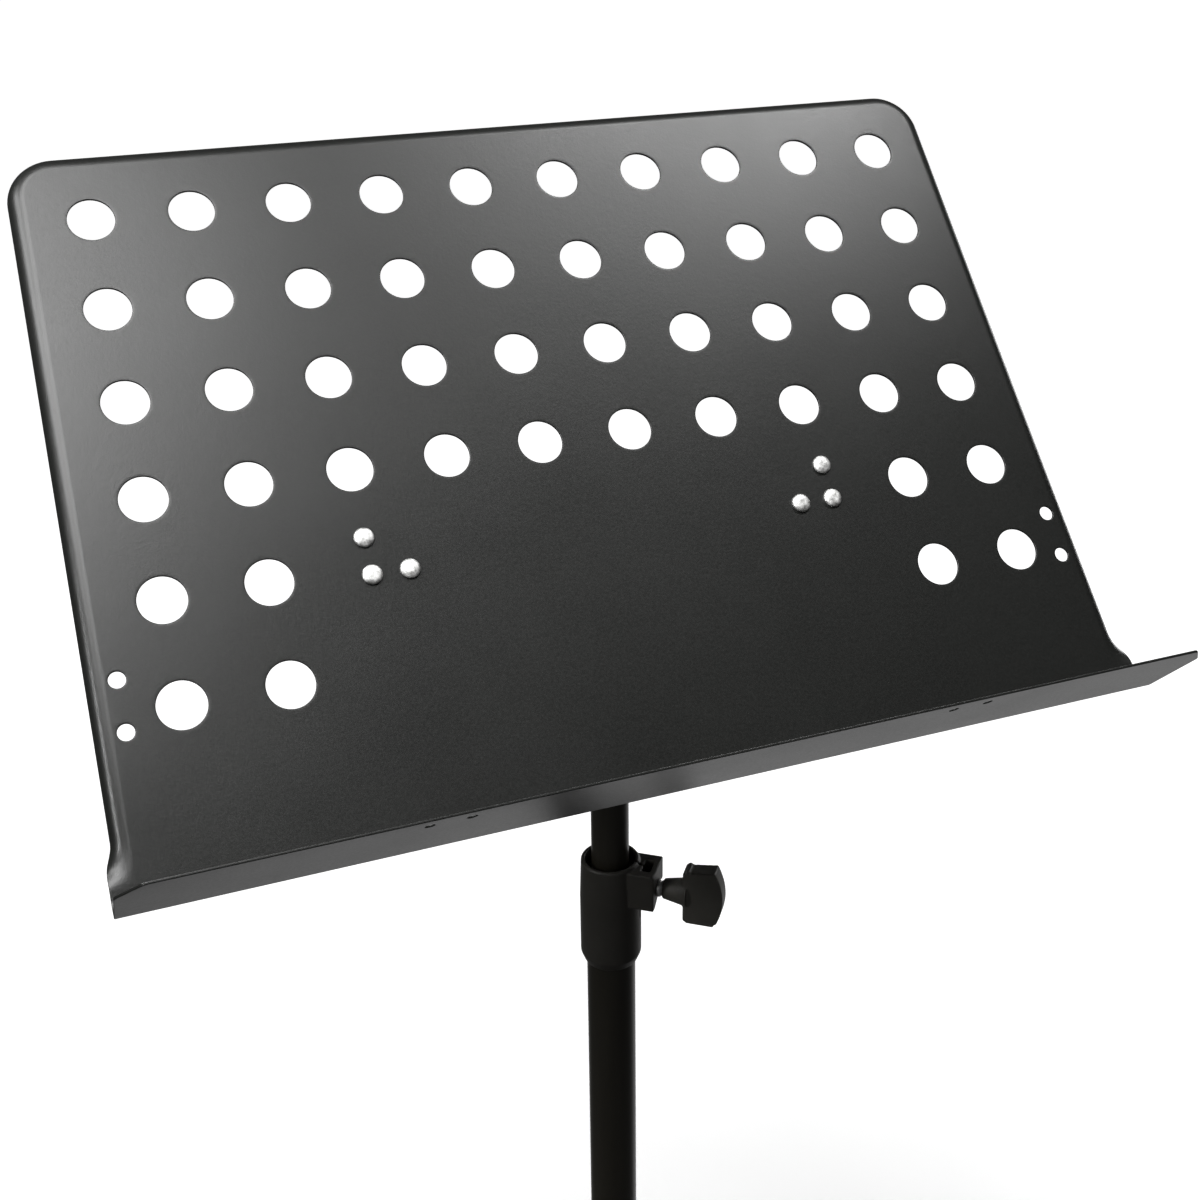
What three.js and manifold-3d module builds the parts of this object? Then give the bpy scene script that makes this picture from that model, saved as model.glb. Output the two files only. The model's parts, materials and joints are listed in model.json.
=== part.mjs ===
// Orchestral music stand: perforated steel desk on a tilting cross rod, two-part mast and folding tripod.
// Millimetres, +Z up. The player stands on the -Y side. The origin is on the floor, in the middle of the
// stand's bounding box; while it is built, the mast's axis is the Z axis.
import * as THREE from 'three';
import { mergeVertices } from 'three/addons/utils/BufferGeometryUtils.js';
import Module from 'manifold-3d';

const wasm = await Module();
wasm.setup();

const DEG = Math.PI / 180;
const GAP = 0.3;
const SLIDE_GAP = 0.1;

// Desk: one sheet, its front face in the plane z = 0 of its own frame, y up the desk, y = 0 under the shelf.
const SHEET = 1.2;
const HOLE_PITCH_X = 45;
const HOLE_PITCH_Y = 45.9;
const HOLE_R = 10.5;
const TOP_ROW_Y = 307;
const HOLE_COLUMNS = 10;
const FULL_ROWS = 4;
const SIDE_ROWS = 2;
const SIDE_COLUMNS = 2;
const DESK_TOP_Y = 343;
const DESK_TOP_HALF_WIDTH = 237;
const DESK_FOOT_HALF_WIDTH = 239.4;
const DESK_CORNER_R = 22;
const ROLL_R = 8;
const ROLL_STEPS = 3;
const ROLL_END_Y = 28;
const PAN_DEPTH = 20;
const SHELF_HALF_WIDTH = 242.5;
const SHELF_FRONT_HALF_WIDTH = 232;
const SHELF_DEPTH = 61;
const SHELF_CORNER_CUT = 15;
const SHELF_BEND_R = 7;
const SHELF_TILT = 2.4 * DEG;
const BEND_STEPS = 4;
const FLARE_Y = [10, 18];
const FLARE_STEP = 1;
const PIN_HOLE_R = 2.1;
const PIN_HOLE_INSET = 8;
const PIN_HOLE_X = [108, 125];
const SIDE_HOLE_R = 3.6;
const SIDE_HOLE_X = 226;
const SIDE_HOLE_Y = [70.6, 92.8];
const RIVET_POINTS = [[113.5, 136.4], [113.5, 118.9], [96.5, 118.9]];
const RIVET_R = 2;
const RIVET_HEAD_R = 4.6;
const RIVET_HEAD_H = 2.2;
const RIVET_TAIL_R = 3.6;
const RIVET_TAIL_T = 1.4;

// Tilt: the rod's axis is the pivot.
const DESK_LEAN = 42 * DEG;
const PIVOT_Z = 778;
const PIVOT_DESK_Y = 104;
const PIVOT_BEHIND = 25;
const ROD_R = 6;
const EAR_X = 86;
const EAR_T = 2;
const EAR_FLANGE_X = 122;
const EAR_STEP_X = 107;
const EAR_BOTTOM_Y = 86;
const EAR_WEB_TOP_Y = 128;
const EAR_FLANGE_BOTTOM_Y = 110;
const EAR_FLANGE_TOP_Y = 144;
const EAR_NOSE_R = 12;
const EAR_SHOULDER = 8;
const ROD_SCREW_R = 2.7;
const ROD_SCREW_HEAD_R = 5.5;
const ROD_SCREW_HEAD_H = 3.2;
const ROD_SCREW_DEPTH = 12;
const HEAD_R = 13;
const HEAD_HALF_LENGTH = 18;
const LUG_HALF_LENGTH = 11;
const LUG_Y = 39;
const LUG_HALF_H = 7;
const LUG_SLOT = 2;
const TILT_BOLT_Y = 30;
const TILT_BOLT_R = 3;
const BOLT_HEX = 10;
const BOLT_HEAD_H = 4;
const WASHER_R = 7;
const WASHER_T = 1.2;
const LUG_ROOT_Y = 6;
const NECK_BOTTOM = -24;
const NECK_TOP = -6;
const NECK_BOTTOM_R = 12;
const NECK_TOP_R = 10.5;
const TILT_SHANK_BELOW = 10;
const TILT_KNOB_BORE = 11;
const PLUG_BOTTOM = -50;

// Mast.
const UPPER_R = 9.5;
const UPPER_BORE_R = 7.9;
const UPPER_LENGTH = 560;
const LOWER_R = 12.5;
const LOWER_BORE_R = 11;
const CLUTCH_TOP_Z = 626;
const CLUTCH_LENGTH = 60;
const CLUTCH_TOP_R = 14.9;
const CLUTCH_R = 15.6;
const CLUTCH_FOOT_R = 13.6;
const CLUTCH_CHAMFER_H = 5;
const CLUTCH_TAPER_H = 22;
const CLUTCH_RIM = 0.6;
const LINER_BELOW_RIM = 8;
const LINER_SLIT = 2;
const LOWER_TOP_Z = 591;
const LOWER_BOTTOM_Z = 12;
const BUSH_LENGTH = 24;
const BUSH_FLOOR = 2;
const BUSH_HOLE_R = 5;
const END_PLUG_CAP = 4;
const END_PLUG_REACH = 14;
const END_PLUG_CHAMFER = 1.5;
const BOSS_TURN = -38 * DEG;
const BOSS_REACH = 25;
const BOSS_HALF_WIDTH = 10;
const BOSS_TOP_Z = 624.5;
const BOSS_HEIGHT = 20.5;
const BOSS_REAR_HEIGHT = 12;
const BOSS_LAND = 4;
const CLUTCH_SCREW_Z = 612.5;
const SCREW_R = 3;
const NUT_H = 3.6;
const NUT_X = 17.9;
const POCKET_X = [17.5, 22];
const POCKET_HALF_WIDTH = 5.3;
const POCKET_DOWN = 6.1;
const SCREW_COLLAR_R = 4.6;
const SCREW_COLLAR_X = [0.6, 2.4];
const SCREW_PAST_BOSS = 10;
const KNOB_PAST_BOSS = 2.8;
const SCREW_HOLE_X = [9, 40];

// Wing knob, along its own axis.
const HUB_R = 5;
const HUB_END_R = 7.4;
const KNOB_BORE = 8;
const WING_START = 10.7;
const WING_END = 27;
const WING_HALF_WIDTH = 15.8;
const WING_T = 9;
const WING_CUT = 2;
const WING_BULGE = 8;

// Tripod. A leg leans LEG_LEAN from straight down, and turns about a pin in the crown.
const LEG_TURNS = [90, 210, 330];
const LEG_LEAN = 62 * DEG;
const LEG_LENGTH = 276;
const LEG_HALF_WIDTH = 9;
const LEG_HALF_DEPTH = 6;
const LEG_WALL = 1.5;
const LEG_CORNER_R = 3;
const LEG_TAIL = 7;
const PIN_RADIUS = 30;
const PIN_R = 2.5;
const PIN_HEAD_R = 4.8;
const PIN_HEAD_H = 2.1;
const LEG_END_Z = 12;
const CROWN_Z = LEG_END_Z + LEG_LENGTH * Math.cos(LEG_LEAN);
const LINK = 122;
const BRACE_Z = CROWN_Z - 2 * LINK * Math.cos(LEG_LEAN);
const STRIP_T = 2;
const STRIP_HALF_DEPTH = 6.5;
const CROWN_R = 18;
const CROWN_DOWN = 15;
const CROWN_UP = 27;
const FORK_T = 3.2;
const FORK_REACH = 38;
const COLLAR_R = 17;
const COLLAR_HALF = 10;
const TONGUE_HALF = 6.5;
const CROWN_KNOB_TURN = 30 * DEG;
const CROWN_BOSS_REACH = 26;
const CROWN_BOSS_HALF = 9;
const ARM_R = 8;
const CROWN_SCREW_Z = CROWN_Z + 14;
const BOOT_WALL = 3;
const BOOT_LENGTH = 30;
const BOOT_SIDE = 2.8;
const SOLE_HEEL = -13;
const SOLE_TOE = 8;
const TOE_ROUND = 2.5;

const ROUND = 20;
const SMALL_ROUND = 10;
const TUBE_ROUND = 24;
const HOLE_ROUND = 12;

const paint = new THREE.MeshStandardMaterial({ color: 0x1d1e1e, roughness: 0.45, metalness: 0.3 });
const gloss = new THREE.MeshStandardMaterial({ color: 0x0b0b0b, roughness: 0.25, metalness: 0.3 });
const plastic = new THREE.MeshStandardMaterial({ color: 0x171717, roughness: 0.6, metalness: 0 });
const bright = new THREE.MeshStandardMaterial({ color: 0xd0d2d4, roughness: 0.25, metalness: 1 });
const rubber = new THREE.MeshStandardMaterial({ color: 0x101010, roughness: 0.9, metalness: 0 });

// --- solids -------------------------------------------------------------------------------------------

function signedVolume(position, index) {
  const a = new THREE.Vector3();
  const b = new THREE.Vector3();
  const c = new THREE.Vector3();
  let sum = 0;
  for (let i = 0; i < index.length; i += 3) {
    a.fromBufferAttribute(position, index[i]);
    b.fromBufferAttribute(position, index[i + 1]);
    c.fromBufferAttribute(position, index[i + 2]);
    sum += a.dot(b.cross(c));
  }
  return sum / 6;
}

// A geometry with shared vertices, no empty triangles and its faces pointing out.
function closed(geometry) {
  const bare = geometry.clone();
  bare.deleteAttribute('normal');
  bare.deleteAttribute('uv');
  const merged = mergeVertices(bare, 1e-4);
  const source = merged.index.array;
  const kept = [];
  for (let i = 0; i < source.length; i += 3) {
    const [a, b, c] = [source[i], source[i + 1], source[i + 2]];
    if (a !== b && b !== c && c !== a) {
      kept.push(a, b, c);
    }
  }
  if (signedVolume(merged.attributes.position, kept) < 0) {
    kept.reverse();
  }
  merged.setIndex(kept);
  return merged;
}

function solid(geometry) {
  const g = closed(geometry);
  return new wasm.Manifold(new wasm.Mesh({
    numProp: 3,
    vertProperties: new Float32Array(g.attributes.position.array),
    triVerts: new Uint32Array(g.index.array),
  }));
}

function geometryOf(manifold) {
  const out = manifold.getMesh();
  const g = new THREE.BufferGeometry();
  g.setAttribute('position', new THREE.BufferAttribute(new Float32Array(out.vertProperties), 3));
  g.setIndex(Array.from(out.triVerts));
  g.computeVertexNormals();
  return g;
}

// A cylinder or cone along +Z from z0 to z1.
function rod(r, z0, z1, sides = ROUND, rTop = r) {
  const g = new THREE.CylinderGeometry(rTop, r, z1 - z0, sides);
  g.rotateX(90 * DEG);
  g.translate(0, 0, (z0 + z1) / 2);
  return g;
}

// A profile of [radius, z] points turned about the Z axis.
function turned(points, sides = ROUND) {
  const g = new THREE.LatheGeometry(points.map(([r, z]) => new THREE.Vector2(r, z)), sides);
  g.rotateX(90 * DEG);
  return g;
}

function tube(rIn, rOut, z0, z1, sides = TUBE_ROUND) {
  return turned([[rIn, z0], [rOut, z0], [rOut, z1], [rIn, z1], [rIn, z0]], sides);
}

function block(x0, x1, y0, y1, z0, z1) {
  const g = new THREE.BoxGeometry(x1 - x0, y1 - y0, z1 - z0);
  g.translate((x0 + x1) / 2, (y0 + y1) / 2, (z0 + z1) / 2);
  return g;
}

function polygon(points) {
  return new THREE.Shape(points.map(([x, y]) => new THREE.Vector2(x, y)));
}

function slab(shape, depth, curveSegments = 8) {
  return new THREE.ExtrudeGeometry(shape, { depth, bevelEnabled: false, curveSegments, steps: 1 });
}

function joined(first, ...rest) {
  return rest.reduce((all, g) => all.add(solid(g)), solid(first));
}

function without(body, ...cutters) {
  return cutters.reduce((left, g) => left.subtract(solid(g)), body);
}

function place(parent, name, shape, material) {
  const geometry = shape.isBufferGeometry ? closed(shape) : geometryOf(shape);
  const mesh = new THREE.Mesh(geometry, material);
  mesh.name = name;
  parent.add(mesh);
}

// A rivet or screw head: a low dome standing on z = 0, pointing along +Z.
function domePoints(r, h, steps = 2) {
  const points = [];
  for (let i = 0; i < steps; i += 1) {
    const a = (i / steps) * 90 * DEG;
    points.push([r * Math.cos(a), h * Math.sin(a)]);
  }
  return [...points, [0, h]];
}

// A pin along Z between -half and +half, with a domed head outside each end.
function headedPin(r, half, headR, headH, sides = SMALL_ROUND) {
  const top = domePoints(headR, headH).map(([x, z]) => [x, z + half]);
  const bottom = top.map(([x, z]) => [x, -z]).reverse();
  return turned([...bottom, [r, -half], [r, half], ...top], sides);
}

// --- desk ---------------------------------------------------------------------------------------------

// The desk's outline above its shelf, less a margin: slightly wider at the foot, round at the top corners.
function deskOutline(margin) {
  const foot = DESK_FOOT_HALF_WIDTH - margin;
  const top = DESK_TOP_HALF_WIDTH - margin;
  const y1 = DESK_TOP_Y - margin;
  const r = DESK_CORNER_R - margin;
  const s = new THREE.Shape();
  s.moveTo(-foot, 0);
  s.lineTo(foot, 0);
  s.lineTo(top, y1 - r);
  s.absarc(top - r, y1 - r, r, 0, 90 * DEG, false);
  s.lineTo(-top + r, y1);
  s.absarc(-top + r, y1 - r, r, 90 * DEG, 180 * DEG, false);
  s.closePath();
  return s;
}

// A full block under the desk's front face, with its edges rounded as the sheet's are. inset is 0 for the
// sheet's outside and the sheet's thickness for its inside.
function panBlock(inset) {
  const r = ROLL_R - inset;
  const g = new THREE.ExtrudeGeometry(deskOutline(ROLL_R), {
    depth: PAN_DEPTH,
    bevelEnabled: true,
    bevelSize: r,
    bevelThickness: r,
    bevelSegments: ROLL_STEPS,
    curveSegments: 4,
  });
  g.translate(0, 0, -PAN_DEPTH - r - inset);
  return g;
}

// The sheet below the rolled part: flat, then bent forward into the shelf, which rises a little to its front.
// Points are [z, y]. The front edge of the shelf's underside is at y = 0.
function bentStrip() {
  const inner = SHELF_BEND_R;
  const outer = SHELF_BEND_R + SHEET;
  const rise = Math.tan(SHELF_TILT);
  const centreY = outer / Math.cos(SHELF_TILT) - (SHELF_DEPTH - inner) * rise;
  const onArc = (r, a) => [inner - r * Math.cos(a), centreY - r * Math.sin(a)];
  const front = [];
  const back = [];
  for (let i = 0; i <= BEND_STEPS; i += 1) {
    const a = (i / BEND_STEPS) * (90 * DEG + SHELF_TILT);
    front.push(onArc(inner, a));
    back.push(onArc(outer, a));
  }
  const joint = DESK_TOP_Y - DESK_CORNER_R - ROLL_R;
  const lip = [SHELF_DEPTH - SHEET * Math.sin(SHELF_TILT), SHEET * Math.cos(SHELF_TILT)];
  const profile = [[0, joint], ...front, lip, [SHELF_DEPTH, 0]];
  const shape = polygon([...profile, ...back.reverse(), [-SHEET, joint]]);
  const g = slab(shape, 2 * SHELF_HALF_WIDTH);
  g.rotateY(-90 * DEG);
  g.translate(SHELF_HALF_WIDTH, 0, 0);
  return g;
}

// The outline that the bent strip is trimmed to, seen from the front: it widens below the rolled sides.
function flareOutline() {
  const flat = DESK_TOP_HALF_WIDTH - ROLL_R;
  const rollEnd = ROLL_END_Y + GAP;
  const right = [
    [SHELF_HALF_WIDTH, -ROLL_R], [SHELF_HALF_WIDTH, FLARE_Y[0]], [SHELF_HALF_WIDTH - FLARE_STEP, FLARE_Y[1]],
    [DESK_FOOT_HALF_WIDTH, rollEnd], [flat, rollEnd], [flat, DESK_TOP_Y],
  ];
  const left = right.map(([x, y]) => [-x, y]).reverse();
  return polygon([...right, ...left]);
}

function shelfOutline() {
  const cutZ = SHELF_DEPTH - SHELF_CORNER_CUT;
  return polygon([
    [-SHELF_HALF_WIDTH, -ROLL_R], [SHELF_HALF_WIDTH, -ROLL_R], [SHELF_HALF_WIDTH, cutZ],
    [SHELF_FRONT_HALF_WIDTH, SHELF_DEPTH], [-SHELF_FRONT_HALF_WIDTH, SHELF_DEPTH], [-SHELF_HALF_WIDTH, cutZ],
  ]);
}

function facePunch(x, y, r, sides) {
  const g = rod(r, -5, 5, sides);
  g.translate(x, y, 0);
  return g;
}

function deskPunches() {
  const punches = [];
  for (let row = 0; row < FULL_ROWS + SIDE_ROWS; row += 1) {
    for (let column = 0; column < HOLE_COLUMNS; column += 1) {
      const fromEdge = Math.min(column, HOLE_COLUMNS - 1 - column);
      if (row < FULL_ROWS || fromEdge < SIDE_COLUMNS) {
        const x = (column - (HOLE_COLUMNS - 1) / 2) * HOLE_PITCH_X;
        punches.push(facePunch(x, TOP_ROW_Y - row * HOLE_PITCH_Y, HOLE_R, HOLE_ROUND));
      }
    }
  }
  for (const side of [-1, 1]) {
    for (const y of SIDE_HOLE_Y) {
      punches.push(facePunch(side * SIDE_HOLE_X, y, SIDE_HOLE_R, 8));
    }
    for (const [x, y] of RIVET_POINTS) {
      punches.push(facePunch(side * x, y, RIVET_R + GAP, 8));
    }
    for (const x of PIN_HOLE_X) {
      const g = rod(PIN_HOLE_R, -5, 5, 8);
      g.rotateX(90 * DEG);
      g.translate(side * x, 0, SHELF_DEPTH - PIN_HOLE_INSET);
      punches.push(g);
    }
  }
  return punches;
}

function deskPanel() {
  const reach = 2 * DESK_TOP_Y;
  const window = block(-reach, reach, ROLL_END_Y, reach, -ROLL_R, ROLL_R);
  const pan = solid(panBlock(0)).subtract(solid(panBlock(SHEET))).intersect(solid(window));
  const trim = slab(flareOutline(), 2 * reach);
  trim.translate(0, 0, -reach);
  const shelfTrim = slab(shelfOutline(), 2 * reach);
  shelfTrim.rotateX(90 * DEG);
  shelfTrim.translate(0, reach, 0);
  const lower = solid(bentStrip()).intersect(solid(trim)).intersect(solid(shelfTrim));
  return without(pan.add(lower), ...deskPunches());
}

function rivetShape() {
  const inner = -SHEET - 2 * GAP - EAR_T;
  const head = domePoints(RIVET_HEAD_R, RIVET_HEAD_H).map(([r, z]) => [r, z + GAP]);
  const tail = inner - GAP;
  const tailEnd = tail - RIVET_TAIL_T;
  return turned([
    [0, tailEnd], [RIVET_TAIL_R - GAP, tailEnd], [RIVET_TAIL_R, tail], [RIVET_R, tail], [RIVET_R, GAP],
    ...head,
  ], SMALL_ROUND);
}

// One bracket ear on the +X side: a flange riveted to the desk's back and a web that holds the rod.
function earShape() {
  const back = -SHEET - GAP;
  const flange = slab(polygon([
    [EAR_X, EAR_BOTTOM_Y], [EAR_FLANGE_X, EAR_FLANGE_BOTTOM_Y], [EAR_FLANGE_X, EAR_FLANGE_TOP_Y],
    [EAR_STEP_X, EAR_FLANGE_TOP_Y], [EAR_X, EAR_WEB_TOP_Y],
  ]), EAR_T);
  flange.translate(0, 0, back - EAR_T);
  const webShape = new THREE.Shape();
  webShape.moveTo(back, EAR_BOTTOM_Y);
  webShape.lineTo(back, EAR_WEB_TOP_Y);
  webShape.lineTo(back - EAR_SHOULDER, EAR_WEB_TOP_Y);
  webShape.absarc(-PIVOT_BEHIND, PIVOT_DESK_Y, EAR_NOSE_R, 135 * DEG, 225 * DEG, false);
  webShape.lineTo(back - EAR_SHOULDER, EAR_BOTTOM_Y);
  const web = slab(webShape, EAR_T, 6);
  web.rotateY(-90 * DEG);
  web.translate(EAR_X + EAR_T, 0, 0);
  const screwHole = rod(ROD_SCREW_R + GAP, EAR_X - 5, EAR_X + 8, SMALL_ROUND);
  screwHole.rotateY(90 * DEG);
  screwHole.translate(0, PIVOT_DESK_Y, -PIVOT_BEHIND);
  const rivetHoles = RIVET_POINTS.map(([x, y]) => facePunch(x, y, RIVET_R + GAP, 8));
  return without(joined(flange, web), screwHole, ...rivetHoles);
}

function mirroredX(manifold) {
  const g = geometryOf(manifold);
  g.scale(-1, 1, 1);
  return g;
}

function rodShape() {
  const end = EAR_X - GAP;
  const bore = ROD_SCREW_R + GAP;
  const depth = end - ROD_SCREW_DEPTH;
  const body = solid(rod(ROD_R, -end, end));
  return without(body, rod(bore, depth, end + 1, SMALL_ROUND), rod(bore, -end - 1, -depth, SMALL_ROUND));
}

function rodScrewShape() {
  const face = EAR_X + EAR_T + GAP;
  const head = domePoints(ROD_SCREW_HEAD_R, ROD_SCREW_HEAD_H).map(([r, z]) => [r, z + face]);
  const tip = EAR_X - GAP - ROD_SCREW_DEPTH + 1;
  return turned([[0, tip], [ROD_SCREW_R, tip], [ROD_SCREW_R, face], ...head], SMALL_ROUND);
}

function buildDesk(desk) {
  place(desk, 'desk_panel', deskPanel(), paint);
  for (const side of [-1, 1]) {
    const label = side < 0 ? 'left' : 'right';
    RIVET_POINTS.forEach(([x, y], i) => {
      const g = rivetShape();
      g.translate(side * x, y, 0);
      place(desk, `desk_rivet_${label}_${i + 1}`, g, bright);
    });
    const ear = earShape();
    place(desk, `bracket_ear_${label}`, side < 0 ? mirroredX(ear) : ear, paint);
    const screw = rodScrewShape();
    screw.rotateY(side * 90 * DEG);
    screw.translate(0, PIVOT_DESK_Y, -PIVOT_BEHIND);
    place(desk, `rod_screw_${label}`, screw, bright);
  }
  const axle = geometryOf(rodShape());
  axle.rotateY(90 * DEG);
  axle.translate(0, PIVOT_DESK_Y, -PIVOT_BEHIND);
  place(desk, 'cross_rod', axle, gloss);
}

// --- tilt head, in a frame with its origin on the rod's axis ----------------------------------------------

function tiltHeadShape() {
  const sleeve = rod(HEAD_R, -HEAD_HALF_LENGTH, HEAD_HALF_LENGTH, 28);
  sleeve.rotateY(90 * DEG);
  const lugs = block(-LUG_HALF_LENGTH, LUG_HALF_LENGTH, LUG_ROOT_Y, LUG_Y, -LUG_HALF_H, LUG_HALF_H);
  const neck = rod(NECK_BOTTOM_R, NECK_BOTTOM, NECK_TOP, ROUND, NECK_TOP_R);
  const plug = rod(UPPER_BORE_R - GAP, PLUG_BOTTOM, NECK_BOTTOM + 1, ROUND);
  const bore = rod(ROD_R + GAP, -30, 30);
  bore.rotateY(90 * DEG);
  const slot = block(-30, 30, 4, LUG_Y + 5, -LUG_SLOT / 2, LUG_SLOT / 2);
  const boltHole = rod(TILT_BOLT_R + GAP, -20, 20, SMALL_ROUND);
  boltHole.translate(0, TILT_BOLT_Y, 0);
  return without(joined(sleeve, lugs, neck, plug), bore, slot, boltHole);
}

function hexHead(across, z0, z1) {
  return rod(across / Math.sqrt(3), z0, z1, 6);
}

function tiltBoltShape() {
  const top = LUG_HALF_H + GAP;
  const shank = rod(TILT_BOLT_R, -LUG_HALF_H - TILT_SHANK_BELOW, top + 1, SMALL_ROUND);
  return joined(shank, hexHead(BOLT_HEX, top, top + BOLT_HEAD_H));
}

// A wing knob along +Z: a tapered hub with a flat blade across its end.
function wingKnobShape(boreR, boreDepth) {
  const hub = rod(HUB_R, 0, WING_START + 1, ROUND, HUB_END_R);
  const blade = new THREE.Shape();
  blade.moveTo(-WING_HALF_WIDTH, WING_START + WING_CUT);
  blade.lineTo(-WING_HALF_WIDTH + WING_CUT, WING_START);
  blade.lineTo(WING_HALF_WIDTH - WING_CUT, WING_START);
  blade.lineTo(WING_HALF_WIDTH, WING_START + WING_CUT);
  blade.lineTo(WING_HALF_WIDTH, WING_END);
  blade.quadraticCurveTo(0, WING_END + WING_BULGE, -WING_HALF_WIDTH, WING_END);
  const wing = slab(blade, WING_T, 6);
  wing.translate(0, 0, -WING_T / 2);
  wing.rotateX(90 * DEG);
  const body = joined(hub, wing);
  return without(body, rod(boreR, -1, boreDepth, SMALL_ROUND));
}

function buildTilt(mast) {
  place(mast, 'tilt_head', tiltHeadShape(), plastic);
  const bolt = geometryOf(tiltBoltShape());
  bolt.translate(0, TILT_BOLT_Y, 0);
  place(mast, 'tilt_bolt', bolt, bright);
  const washerTop = -LUG_HALF_H - GAP;
  const washer = tube(TILT_BOLT_R + GAP, WASHER_R, washerTop - WASHER_T, washerTop, ROUND);
  washer.translate(0, TILT_BOLT_Y, 0);
  place(mast, 'tilt_washer', washer, bright);
  const knob = geometryOf(wingKnobShape(TILT_BOLT_R + GAP, TILT_KNOB_BORE));
  knob.rotateX(180 * DEG);
  knob.translate(0, TILT_BOLT_Y, washerTop - WASHER_T - GAP);
  place(mast, 'tilt_knob', knob, plastic);
}

// --- mast -----------------------------------------------------------------------------------------------

// A boss of a clamp, reaching out along +X from the sleeve, with a pocket for the nut and a screw hole.
function bossShape(reach, frontHeight, rearHeight) {
  const w = BOSS_HALF_WIDTH;
  const outline = polygon([
    [-w, 0], [w, 0], [w, -rearHeight], [-w + BOSS_LAND, -frontHeight], [-w, -frontHeight],
  ]);
  const g = slab(outline, reach);
  g.rotateX(90 * DEG);
  g.rotateZ(90 * DEG);
  return g;
}

function nutShape() {
  const g = hexHead(BOLT_HEX, 0, NUT_H);
  g.rotateZ(30 * DEG);
  return without(solid(g), rod(SCREW_R + GAP, -1, NUT_H + 1, SMALL_ROUND));
}

function nutPocket(screwZ, topZ) {
  return block(...POCKET_X, -POCKET_HALF_WIDTH, POCKET_HALF_WIDTH, screwZ - POCKET_DOWN, topZ);
}

function screwHole(z) {
  const g = rod(SCREW_R + GAP, ...SCREW_HOLE_X, SMALL_ROUND);
  g.rotateY(90 * DEG);
  g.translate(0, 0, z);
  return g;
}

function clutchShape() {
  const bottom = CLUTCH_TOP_Z - CLUTCH_LENGTH;
  const body = turned([
    [0, bottom], [CLUTCH_FOOT_R, bottom], [CLUTCH_R, bottom + CLUTCH_CHAMFER_H],
    [CLUTCH_R, CLUTCH_TOP_Z - CLUTCH_TAPER_H], [CLUTCH_TOP_R, CLUTCH_TOP_Z - 1],
    [CLUTCH_TOP_R - CLUTCH_RIM, CLUTCH_TOP_Z], [0, CLUTCH_TOP_Z],
  ], TUBE_ROUND);
  const boss = bossShape(BOSS_REACH, BOSS_HEIGHT, BOSS_REAR_HEIGHT);
  boss.translate(0, 0, BOSS_TOP_Z);
  const bore = rod(LOWER_R + GAP, bottom - 1, CLUTCH_TOP_Z + 1, TUBE_ROUND);
  const pocket = nutPocket(CLUTCH_SCREW_Z, BOSS_TOP_Z + 1);
  return without(joined(body, boss), bore, pocket, screwHole(CLUTCH_SCREW_Z));
}

// The split ring inside the clutch that grips the upper tube.
function linerShape() {
  const bottom = LOWER_TOP_Z + GAP;
  const ring = tube(UPPER_R + GAP, LOWER_R - SLIDE_GAP, bottom, CLUTCH_TOP_Z - LINER_BELOW_RIM);
  const slit = block(-CLUTCH_R, 0, -LINER_SLIT / 2, LINER_SLIT / 2, bottom - 1, CLUTCH_TOP_Z);
  return without(solid(ring), slit);
}

function screwAndKnob(parent, prefix, z, reach) {
  const tipX = LOWER_R + 2 * GAP;
  const screw = rod(SCREW_R, tipX, reach + SCREW_PAST_BOSS, SMALL_ROUND);
  const collar = rod(SCREW_COLLAR_R, reach + SCREW_COLLAR_X[0], reach + SCREW_COLLAR_X[1], SMALL_ROUND);
  const bolt = geometryOf(joined(screw, collar));
  bolt.rotateY(90 * DEG);
  bolt.translate(0, 0, z);
  place(parent, `${prefix}_screw`, bolt, bright);
  const knob = geometryOf(wingKnobShape(SCREW_R + GAP, KNOB_BORE));
  knob.rotateY(90 * DEG);
  knob.translate(reach + KNOB_PAST_BOSS, 0, z);
  place(parent, `${prefix}_knob`, knob, plastic);
  const nut = geometryOf(nutShape());
  nut.rotateY(90 * DEG);
  nut.translate(NUT_X, 0, z);
  place(parent, `${prefix}_nut`, nut, bright);
}

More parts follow.
